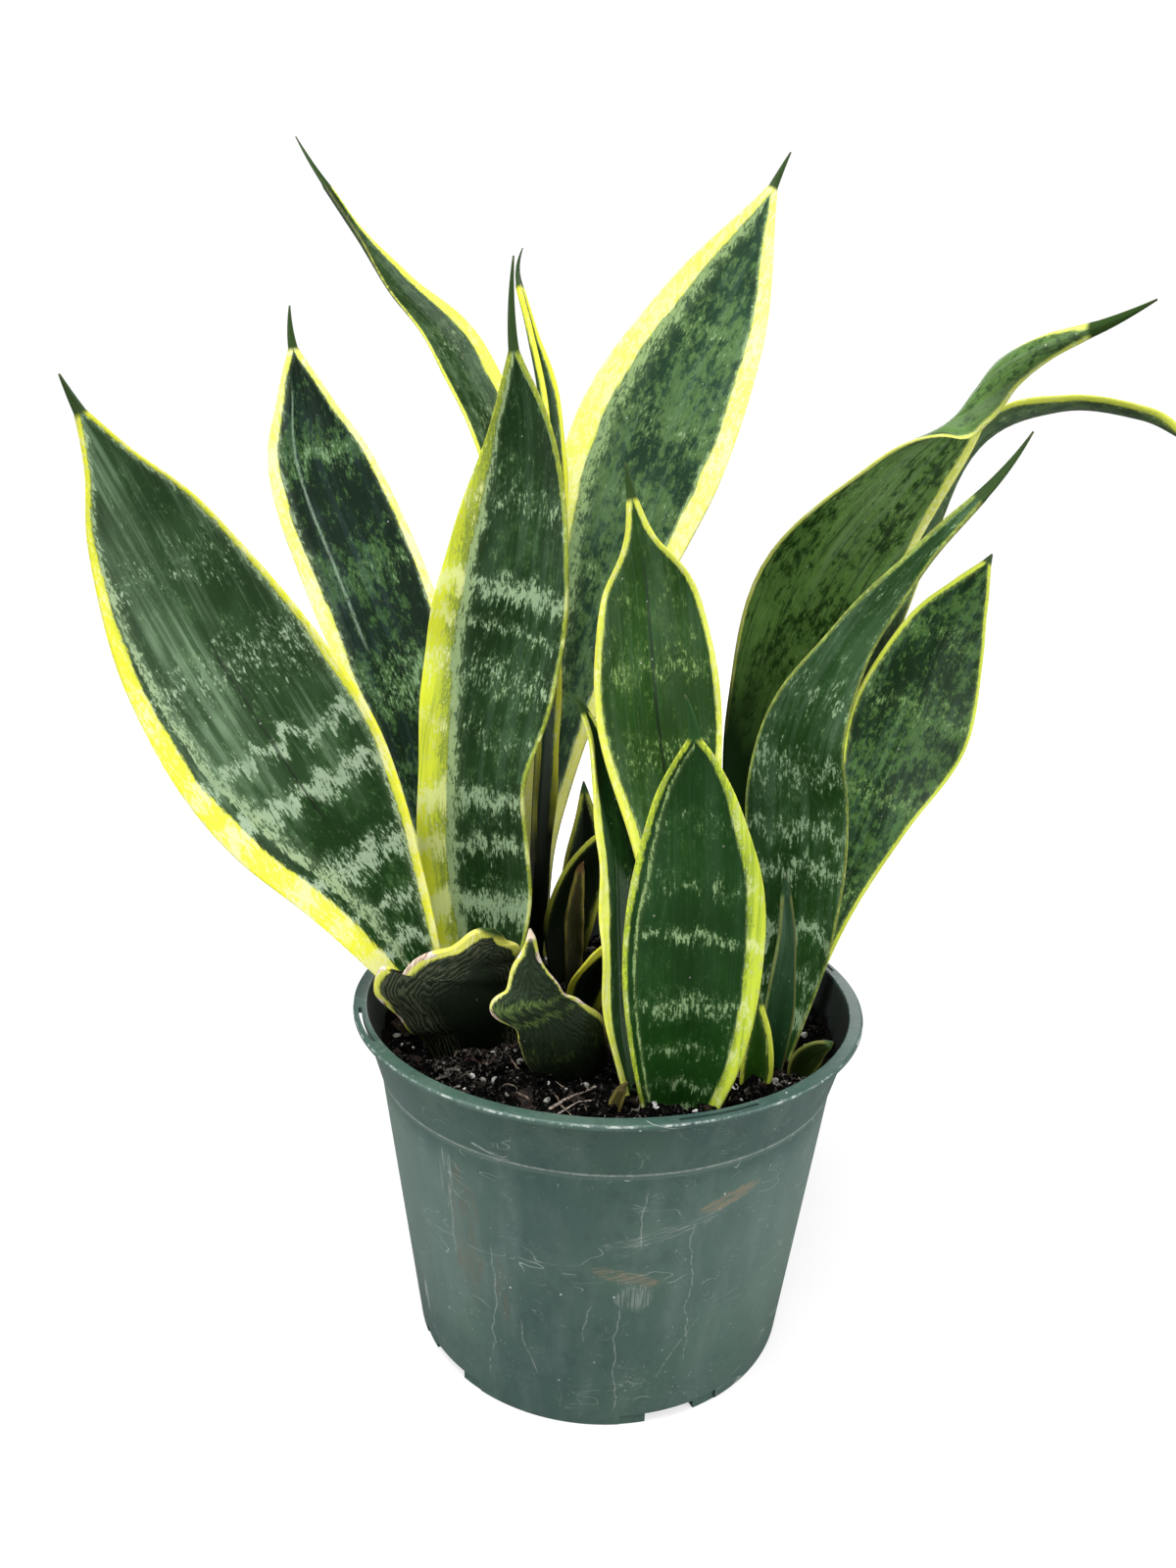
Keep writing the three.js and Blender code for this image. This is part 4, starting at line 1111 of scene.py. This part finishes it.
grow(
    "leaf_centre_left", spike=(30, 3, 2, 0),
    rows=(
        (-49, 11, 126, 28, -12, 70), (-52, 12, 177, 50, -12, 42), (-55, 8, 225, 46, -12, 26),
        (-48, 7, 268, 55, -12, 20), (-41, 3, 309, 50, -12, 23), (-36, -3, 352, 30, -12, 32),
        (-39, -10, 384, 4, -12, 45),
    ),
    seed=4, silver=0.1, ripple=(0.9, 42.0, 3.1), mottle=0.42, centre=0.1,
    tones=((20, 46, 14), (50, 84, 38), (160, 186, 146)), margin_mix=(0.36, 0.5),
    yellow=((216, 225, 56), (224, 232, 150)), moss=(148, 170, 66), stripe_strength=0.8, blend=8.0,
    blend_strength=0.7,
    left=((0, 10), (80, 11.5), (150, 11), (190, 8), (215, 5), (240, 2), (258, 1.6)),
    right=((0, 1.6), (250, 1.6)), stripe=(5.0, 1.5), fray=3.0, fleck=0.022, zigzag=18.0,
    lime=(160, 182, 124), band_over=0.3, line=0.0,
    bands=((177, 8, 0.76), (162, 6, 0.5), (145, 14, 0.4), (120, 10, 0.3), (93, 10, 0.7),
           (74, 8, 0.65), (47, 12, 0.85), (22, 12, 0.7), (210, 14, 0.3)), shade_height=24.0,
    shade_depth=0.5,
)
grow(
    "leaf_edge_on", spike=(14, 5, 0, 1),
    rows=(
        (-36, 38, 126, 14, 60, 80), (-33, 42, 195, 18, 62, 68), (-31, 46, 255, 19, 64, 60),
        (-31, 52, 312, 21, 67, 60), (-33, 58, 366, 21, 71, 64), (-39, 60, 397, 9, 73, 68),
        (-44, 62, 415, 5, 75, 70),
    ),
    seed=5, silver=0.12, ripple=(0.5, 44.0, 0.9), margin_mix=(0.4, 0.3), left=((0, 3), (280, 2)),
    right=((0, 3), (280, 2)), shade_height=240.0, shade_depth=1.2,
    bands=((120, 12, 0.4), (180, 12, 0.4), (230, 12, 0.4)),
)


# Middle leaves: the tallest blade at the back and three shorter ones before it. The front
# one stands at the rim and shows its clean cross-bands; the one beside it is folded.
grow(
    "leaf_tall", spike=(13, 1, 0, 1),
    rows=(
        (-34, 67, 123, 15, -12, 80), (-32, 68, 184, 19, -11, 62), (-21, 72, 248, 34, -10, 43),
        (-6, 76, 304, 56, -8, 27), (11, 81, 356, 69, -6, 23), (36, 86, 410, 48, -5, 27),
        (57, 86, 458, 4, -4, 40),
    ),
    seed=6, silver=0.12, ripple=(1.1, 58.0, 0.2), mottle=0.56, mottle_strength=0.8,
    tones=((28, 54, 36), (84, 116, 64), (146, 172, 128)), margin_mix=(0.6, 0.12),
    bloom=(104, 132, 118), left=((0, 5), (120, 8), (230, 11), (300, 8), (345, 3)),
    shade_height=200.0, shade_depth=0.75, right=((0, 4), (120, 6), (230, 9), (300, 7), (345, 3)),
    line=0.0, fray=2.2, stripe=(8.0, 2.5), lime=(150, 176, 118), stripe_strength=0.8, fleck=0.0,
    yellow=((244, 246, 112), (248, 250, 180)),
    bands=((250, 14, 0.35), (215, 12, 0.35), (180, 12, 0.4), (290, 14, 0.35), (140, 12, 0.3)),
    band_mottle=0.2,
)
grow(
    "leaf_middle", spike=(12, 0, 0, 0),
    rows=(
        (30, -28, 126, 14, 8, 70), (27, -25, 174, 22, 8, 42), (22, -20, 217, 35, 8, 29),
        (15, -14, 259, 48, 8, 27), (10, -10, 301, 38, 8, 34), (6, -12, 322, 13, 8, 44),
        (3, -14, 336, 4, 8, 50),
    ),
    seed=7, silver=0.1, ripple=(0.8, 40.0, 2.0), tones=((30, 60, 16), (68, 98, 40), (132, 160, 96)),
    left=((0, 6), (80, 4.5), (120, 3), (200, 1.8)), right=((0, 3), (100, 2.2), (200, 1.8)),
    margin_mix=(0.5, 0.4), yellow=((224, 230, 84), (236, 240, 164)), moss=(170, 188, 70),
    centre=0.2, zigzag=14.0, crease=(60, 200, 0.8), mottle=0.40, stripe=(2.0, 1.0),
    bands=((150, 20, 0.42), (124, 20, 0.38), (176, 8, 0.2)), fleck=0.01, shade_height=90.0,
    shade_depth=0.45,
)
grow(
    "leaf_front", spike=(15, -2, 0, 0),
    rows=(
        (26, -61, 122, 26, 0, 45), (28, -65, 150, 40, -2, 29), (28, -71, 183, 47, -3, 18),
        (28, -76, 215, 44, -5, 17), (26, -80, 244, 29, -6, 23), (25, -83, 259, 15, -7, 30),
        (24, -86, 267, 4, -8, 35),
    ),
    seed=8, silver=0.05, ripple=(0.6, 60.0, 1.1), zigzag=8.0, centre=0.8,
    tones=((22, 56, 16), (38, 78, 28), (152, 180, 130)), margin_mix=(0.42, 0.62), mottle=0.36,
    yellow=((210, 228, 70), (226, 238, 158)), moss=(150, 180, 56), band_over=0.4,
    lime=(158, 182, 112), left=((0, 1.1), (60, 1.5), (100, 2.2), (140, 1.3)),
    right=((0, 3.5), (30, 5.6), (85, 6.4), (120, 4), (140, 1.6)),
    gap=((0, 1.6), (100, 2), (130, 1)), stripe=(4.0, 0.8), stripe_strength=0.8, line=0.2,
    spike_tone=(40, 78, 36),
    bands=((96, 10, 0.45), (76, 5, 0.74), (49, 10, 0.74), (30, 6, 0.6), (14, 6, 0.65), (4, 6, 1.0),
           (118, 14, 0.3)),
)
grow(
    "leaf_folded", spike=(13, -4, 0, -5),
    rows=(
        (10, -55, 126, 14, 45, 70), (5, -45, 152, 24, 45, 45), (3, -34, 181, 28, 45, 40),
        (1, -24, 209, 26, 46, 42), (-5, -16, 234, 16, 49, 52), (-8, -12, 248, 9, 52, 57),
        (-12, -10, 258, 5, 55, 60),
    ),
    seed=9, silver=0.05, ripple=(0.8, 34.0, 0.0), right=((0, 1.2), (140, 1.2)), line=0.0,
    left=((0, 3.5), (20, 4.5), (65, 8), (100, 5), (125, 2), (142, 1.5)),
    yellow=((222, 230, 84), (236, 240, 170)), tones=((14, 40, 10), (34, 64, 22), (130, 156, 100)),
    margin_mix=(0.55, 0.4), mottle=0.35, bands=((40, 8, 0.3), (80, 8, 0.3)),
)


# Right leaves: four blades that lean out to the right. The big one twists over near its end,
# and the one behind it arches and shows its back.
grow(
    "leaf_big_right", spike=(21, 0, 0, 2),
    rows=(
        (60, 45, 125, 16, 0, 70), (60, 45, 193, 30, 5, 45), (67, 41, 250, 50, 10, 32),
        (79, 35, 303, 60, 15, 28), (103, 26, 343, 44, 30, 35), (120, 18, 364, 33, 60, 45),
        (125, 8, 374, 26, 95, 60), (130, -4, 382, 18, 130, 65), (138, -18, 388, 11, 155, 65),
        (148, -31, 392, 5, 165, 60),
    ),
    seed=10, silver=0.34, sheen=(0.3, 0.9, 0.5), sheen_from=(180, 280), bloom=(116, 134, 106),
    ripple=(0.8, 62.0, 0.6), mottle=0.72, mottle_strength=0.8,
    tones=((24, 52, 11), (96, 134, 62), (146, 172, 112)), margin_mix=(0.5, 0.2), zigzag=26.0,
    smears=0.85, left=((0, 1), (200, 1.3), (315, 1.5)),
    right=((0, 1.5), (120, 2), (240, 3.5), (315, 2.5)), yellow=((214, 220, 110), (232, 236, 180)),
    shade_height=255.0, shade_depth=1.6, shine=0.04, shade_tone=(8, 26, 3),
    bands=((150, 40, 0.25), (220, 30, 0.3)),
)
grow(
    "leaf_arched_right", spike=(24, 0, 0, -5),
    rows=(
        (54, 57, 124, 16, 180, 70), (76, 60, 180, 24, 180, 50), (95, 61, 246, 32, 185, 42),
        (116, 60, 309, 30, 195, 42), (141, 56, 359, 26, 235, 45), (170, 47, 373, 19, 262, 40),
        (196, 35, 370, 13, 268, 45), (210, 25, 362, 5, 270, 50),
    ),
    seed=11, silver=0.15, ripple=(0.6, 48.0, 1.4), mottle=0.62, smears=0.4,
    tones=((30, 54, 22), (88, 116, 64), (146, 168, 120)), left=((0, 2.5), (330, 2)),
    right=((0, 2.5), (330, 2)), yellow=((222, 228, 84), (238, 240, 160)),
    bands=((190, 12, 0.4), (230, 12, 0.4), (270, 12, 0.4)), shade_height=180.0, shade_depth=0.8,
)
grow(
    "leaf_wavy_right", spike=(24, -2, 0, 2),
    rows=(
        (67, -25, 126, 12, -20, 75), (70, -23, 173, 32, -20, 50), (68, -27, 218, 40, -21, 35),
        (66, -35, 257, 32, -22, 26), (78, -41, 290, 18, -27, 30), (97, -46, 319, 10, -36, 45),
        (113, -50, 339, 5, -48, 60),
    ),
    seed=12, silver=0.16, ripple=(1.0, 36.0, 2.2), centre=0.0,
    tones=((24, 54, 16), (44, 78, 32), (146, 172, 134)), margin_mix=(0.3, 0.6), fleck=0.028,
    zigzag=30.0, left=((0, 0.7), (150, 0.8), (200, 1.4), (225, 1.4)), right=((0, 0.6), (220, 0.6)),
    stripe=(0.5, 3.0), yellow=((156, 174, 84), (196, 206, 140)), moss=(112, 138, 64),
    lime=(118, 146, 96), mottle=0.38,
    bands=((150, 12, 0.35), (121, 14, 0.4), (96, 10, 0.52), (80, 9, 0.6), (53, 9, 0.66),
           (36, 6, 0.5), (20, 9, 0.75)),
)
grow(
    "leaf_far_right", spike=(4, 0, 0, 0),
    rows=(
        (78, 15, 125, 12, -18, 80), (93, 22, 168, 15, -18, 52), (107, 32, 207, 32, -18, 33),
        (122, 46, 242, 51, -18, 25), (136, 59, 278, 38, -18, 28), (147, 64, 299, 19, -18, 35),
        (154, 66, 312, 4, -18, 40),
    ),
    seed=13, silver=0.16, ripple=(0.8, 44.0, 0.3), mottle=0.54, mottle_strength=0.85,
    tones=((14, 38, 14), (70, 104, 46), (140, 168, 108)), left=((0, 1.4), (120, 1.6), (200, 1.8)),
    right=((0, 1.4), (200, 1)), yellow=((200, 212, 76), (222, 228, 150)), centre=0.0,
    bloom=(96, 128, 104), bands=((60, 12, 0.45), (100, 12, 0.4), (140, 12, 0.4), (175, 10, 0.3)),
)


# Damaged leaves: two short broad leaves at the front left that show their wrinkled backs. The
# backs' near-black tones are partly their own dark green and partly painted shade. Their rims
# have rolled over, dried in places and scarred brown.
grow(
    "leaf_curled_rim", spike=(2, 0, 0, 0),
    rows=(
        (-48, -27, 125, 42, 195, 28, -0.03), (-48, -29, 137, 48, 200, 26, 0.03),
        (-49, -31, 146, 54, 205, 25, 0.09), (-49, -32, 155, 63, 207, 24, 0.24),
        (-48, -33, 160, 57, 205, 24, 0.22), (-48, -33, 165, 47, 205, 26, 0.14),
        (-47, -34, 170, 32, 202, 28, -0.07), (-46, -34, 175, 22, 200, 30, -0.26),
        (-44, -34, 179, 10, 200, 30, -0.19),
    ),
    seed=14, silver=0.0, ripple=(0.5, 24.0, 0.0), bead=(1.0, 1.5), groove=0.2,
    tones=((7, 12, 4), (22, 30, 12), (84, 92, 62)), left=((0, 1.5), (25, 3), (40, 4.5), (56, 4)),
    right=((0, 0.9), (24, 1.0), (29, 2.2), (42, 1.8), (46, 3.0), (56, 3.2)),
    yellow=((226, 222, 94), (240, 234, 176)), margin_mix=(0.5, 0.1), ridges=0.75, relief=0.9,
    gloss=0.42, mottle=0.4, shine=0.1, ridge_tone=(82, 86, 66), stripe=(0.5, 0.5),
    shade_height=52.0, shade_depth=1.1,
    wounds=((1, 43, 0.4, 1.3, 1.1), (1, 28, 0.3, 1.4, 0.9), (1, 38, 0.3, 6, 0.7),
            (1, 22, 0.4, 1.8, 0.9), (1, 31, 21, 2, 1.6)),
)
grow(
    "leaf_scarred_stub", spike=(3, 0, 0, 0),
    rows=(
        (-14, -50, 124, 22, 185, 32, -0.54), (-16, -53, 136, 31, 185, 30, -0.22),
        (-18, -56, 148, 33, 188, 28, -0.18), (-20, -57, 156, 27, 192, 26, -0.02),
        (-22, -58, 163, 29, 195, 26, 0.40), (-23, -58, 169, 20, 192, 26, 0.41),
        (-25, -58, 176, 13, 190, 26, 0.54), (-26, -58, 182, 7, 188, 28, 0.53),
        (-27, -58, 188, 3, 185, 30, 0.14),
    ),
    seed=15, silver=0.15, ripple=(0.5, 26.0, 1.2), bead=(0.6, 1.2), groove=0.2,
    tones=((22, 34, 18), (40, 54, 26), (92, 114, 56)),
    left=((0, 1), (20, 1.6), (30, 1.8), (36, 1.2), (50, 0.8), (64, 1)),
    right=((0, 0.5), (36, 0.6), (44, 1.1), (52, 1.8), (60, 2), (64, 1)),
    yellow=((228, 222, 104), (240, 234, 186)), margin_mix=(0.5, 0.1), ridges=0.5, relief=0.8,
    gloss=0.4, mottle=0.45, shine=0.12, zigzag=4.0, centre=0.0, ridge_tone=(12, 18, 8),
    stripe=(0.5, 0.5), shade_height=42.0, shade_depth=1.0, spike_tone=(224, 206, 184),
    bands=((41, 2.5, 1.1), (35, 2.5, 0.9), (18, 12, 0.5)), bloom=(84, 104, 84),
    wounds=((-1, 35, 0.2, 2.2, 0.8), (-1, 58, 0.4, 3.0, 1.0), (-1, 46, 0.1, 7, 0.6),
            (1, 40, 0.4, 1.4, 1.2), (1, 60, 0.3, 2, 0.9)),
)


# Young and inner leaves: short blades between the big ones, some still rolled, mostly in the
# shade. They have the thin yellow margins of the grown leaves; the three inner ones carry painted
# shade in skin tones far darker than the grown leaves', and the darkest one in its duller yellow.
grow(
    "leaf_inner_arch", spike=(4, 0, 0, 0),
    rows=(
        (-20, 39, 124, 14, 20, 70), (-19, 37, 155, 24, 20, 40), (-13, 34, 177, 24, 20, 40),
        (-5, 30, 194, 15, 20, 45), (5, 27, 202, 4, 20, 50),
    ),
    seed=16, left=((0, 2), (85, 2)), right=((0, 2), (85, 2)), ripple=(0.5, 30.0, 0.0),
    tones=((8, 16, 5), (18, 32, 12), (70, 90, 50)), shade_height=84.0, shade_depth=1.2,
    yellow=((206, 214, 76), (224, 228, 150)), moss=(150, 162, 60),
)
grow(
    "leaf_inner_curl", spike=(4, 0, 0, 0),
    rows=(
        (-12, 10, 124, 14, 25, 70), (-9, 8, 140, 22, 25, 50), (-3, 5, 153, 18, 25, 50),
        (5, 2, 164, 4, 25, 50),
    ),
    seed=17, left=((0, 3), (45, 6)), right=((0, 3), (45, 5)), ripple=(0.4, 20.0, 0.5),
    tones=((8, 15, 5), (18, 30, 12), (70, 90, 50)), shade_height=40.0, shade_depth=1.0,
    moss=(150, 162, 60),
)
grow(
    "leaf_inner_dark", spike=(5, 0, 0, 0),
    rows=(
        (-20, 66, 124, 14, 0, 70), (-15, 64, 150, 20, 0, 45), (-12, 62, 176, 20, 0, 40),
        (-12, 61, 196, 11, 0, 50), (-13, 60, 208, 4, 0, 50),
    ),
    seed=18, left=((0, 1.5), (85, 1.5)), right=((0, 1.5), (85, 1.5)), ripple=(0.5, 30.0, 1.0),
    tones=((6, 12, 4), (14, 26, 9), (70, 90, 50)), shade_height=100.0, shade_depth=1.2,
    moss=(120, 130, 50), yellow=((170, 178, 66), (200, 206, 120)),
)
grow(
    "leaf_young_spike", spike=(6, 0, 0, 0),
    rows=(
        (61, -38, 124, 10, 20, 70), (62, -38, 146, 14, 20, 60), (63, -38, 166, 13, 20, 55),
        (64, -38, 184, 8, 15, 60), (63, -38, 200, 4, 10, 60),
    ),
    seed=19, left=((0, 0.4), (75, 0.3)), right=((0, 0.3), (75, 0.2)), ripple=(0.3, 30.0, 0.0),
    tones=((22, 48, 24), (40, 68, 38), (120, 146, 110)), silver=0.15, stripe=(0.5, 0.5),
    yellow=((90, 120, 66), (130, 154, 104)), moss=(80, 108, 56), spike_tone=(30, 56, 30),
)
grow(
    "leaf_small_olive", spike=(4, 0, 0, 0),
    rows=(
        (54, -50, 124, 10, 0, 50), (55, -50, 136, 13, 0, 45), (55, -50, 150, 10, 0, 45),
        (54, -50, 162, 4, 0, 45),
    ),
    seed=20, left=((0, 1), (38, 1)), right=((0, 1.5), (38, 1.5)), ripple=(0.2, 20.0, 0.0),
    tones=((28, 58, 12), (48, 78, 22), (130, 144, 80)), yellow=((196, 206, 70), (214, 220, 130)),
)
grow(
    "leaf_low_olive", spike=(2, 0, 0, 0),
    rows=(
        (71, -41, 124, 7, 0, 60), (73, -42, 134, 11, 0, 40), (77, -43, 140, 10, 0, 30),
        (82, -43, 143, 4, 0, 30),
    ),
    seed=21, left=((0, 0.6), (23, 0.6)), right=((0, 0.6), (23, 0.6)), ripple=(0.2, 14.0, 0.0),
    tones=((26, 38, 12), (46, 60, 22), (100, 108, 54)), silver=0.05,
    yellow=((92, 104, 46), (130, 138, 80)), moss=(84, 96, 44), lime=(90, 102, 50),
)


# Dried leaves: two withered sheaths, brown and papery, that still stand in the soil.
grow(
    "leaf_dried", slot="dry_leaf", spike=(4, 1, 0, 0),
    rows=(
        (-15, 24, 124, 7, 10, 60), (-15, 23, 145, 9, 10, 60), (-15, 22, 165, 9, 10, 60),
        (-13, 21, 185, 4, 10, 60),
    ),
    seed=22, left=((0, 0.6), (60, 0.6)), right=((0, 0.6), (60, 0.6)), ripple=(0.9, 13.0, 0.0),
    shine=0.15, tones=((50, 47, 22), (74, 70, 36), (120, 112, 70)), gloss=0.6, relief=1.0,
    shade_height=64.0, shade_depth=1.1, yellow=((120, 112, 50), (150, 140, 88)),
    spike_tone=(84, 62, 34), moss=(90, 90, 36),
)
grow(
    "leaf_dried_small", slot="dry_leaf", spike=(3, 1, 0, 0),
    rows=(
        (3, -68, 124, 4, 0, 40), (4, -68, 130, 5, 0, 40), (6, -68, 136, 4, 0, 40),
    ),
    seed=23, left=((0, 0.5), (12, 0.5)), right=((0, 0.5), (12, 0.5)), ripple=(0.2, 9.0, 0.0),
    tones=((60, 58, 26), (84, 80, 40), (130, 122, 76)), gloss=0.6, relief=1.0, shine=0.15,
    yellow=((120, 110, 54), (150, 138, 90)), spike_tone=(76, 68, 36), moss=(90, 90, 42),
)


# Studio: a plain pale floor that runs out of sight, soft boxes all round and overhead, and the
# camera that looks a little down on the pot from the front.
FLOOR_REACH = 6000
FLOOR_SIDES = 64
CAMERA_PLACE = (0, -423.17, 342.46)
# How far the camera is raised from looking straight down, rolled and panned, in degrees.
CAMERA_TURN = (74.8444, -1.3971, 1.7398)
LENS = 25.99
SENSOR_WIDTH = 36
SKY_STRENGTH = 0.10
BACKDROP_STRENGTH = 1.05
# Each soft box: name, place, what it points at (mm), width, height (mm), power (W).
SOFT_BOXES = (
    ("overhead", (-200, -500, 1500), (0, 0, 200), 1100, 900, 27.0),
    ("left_side", (-1300, -450, 560), (0, 0, 200), 600, 1300, 13.0),
    ("right_side", (1250, -450, 500), (0, 0, 170), 600, 1300, 17.0),
    ("front_fill", (-200, -1800, 420), (0, 0, 200), 1000, 600, 7.0),
    ("back_fill", (250, 1700, 700), (0, 0, 180), 1200, 900, 15.0),
)


def floor_finish():
    """White paper that a lens sees as plain white, apart from the pot's soft shadow."""
    finish = Finish(
        "white paper", Roughness=0.9, Specular_IOR_Level=0.1, Emission_Strength=1.0)
    x, y, _, point = finish.place()
    paper = finish.noise(point, 0.004, 2)
    colour = finish.mix(paper, shade(156, 156, 155), shade(160, 160, 159))
    seen = finish.node("ShaderNodeLightPath", out="Is Camera Ray")
    away = (x * x + y * y) ** 0.5
    glow = seen * (away.rise(250.0, 1100.0) * 0.45 + 0.68)
    glow = finish.mix(glow, (0, 0, 0, 1), (1, 1, 1, 1))
    finish.feed(finish.shader.inputs["Emission Color"], glow)
    finish.feed(finish.shader.inputs["Base Color"], colour)
    return finish.material


turn = [2 * math.pi * step / FLOOR_SIDES for step in range(FLOOR_SIDES)]
rim = [(FLOOR_REACH * math.cos(a), FLOOR_REACH * math.sin(a), 0) for a in turn]
floor = linked("floor", mesh_of("floor", rim, [tuple(range(FLOOR_SIDES))]))
floor.data.materials.append(floor_finish())

for title, place, aim, width, height, power in SOFT_BOXES:
    light = bpy.data.lights.new(title, "AREA")
    light.shape = "RECTANGLE"
    light.size, light.size_y = width * MM, height * MM
    light.energy = power
    box = linked(title, light)
    ahead = Vector(aim) - Vector(place)
    turned = ahead.to_track_quat("-Z", "Y").to_matrix().to_4x4()
    box.matrix_world = Matrix.Translation(Vector(place) * MM) @ turned

world = bpy.data.worlds.new("studio")
world.use_nodes = True
world.node_tree.nodes.clear()
sky = Nodes(world.node_tree)
lighting = sky.node("ShaderNodeBackground", None, {
    0: (0.96, 0.98, 1.0, 1.0), 1: SKY_STRENGTH})
backdrop = sky.node("ShaderNodeBackground", None, {
    0: (1.0, 1.0, 1.0, 1.0), 1: BACKDROP_STRENGTH})
seen = sky.node("ShaderNodeLightPath", out="Is Camera Ray")
both = sky.node("ShaderNodeMixShader", None, {0: seen, 1: lighting, 2: backdrop})
end = world.node_tree.nodes.new("ShaderNodeOutputWorld")
sky.feed(end.inputs[0], both)
bpy.context.scene.world = world
bpy.context.scene.view_settings.view_transform = "Standard"

lens = bpy.data.cameras.new("camera")
lens.sensor_fit = "AUTO"
lens.sensor_width = SENSOR_WIDTH
lens.lens = LENS
lens.clip_start, lens.clip_end = 0.02, 50
camera = linked("camera", lens)
turned = Euler([math.radians(angle) for angle in CAMERA_TURN]).to_matrix().to_4x4()
camera.matrix_world = Matrix.Translation(Vector(CAMERA_PLACE) * MM) @ turned
bpy.context.scene.camera = camera
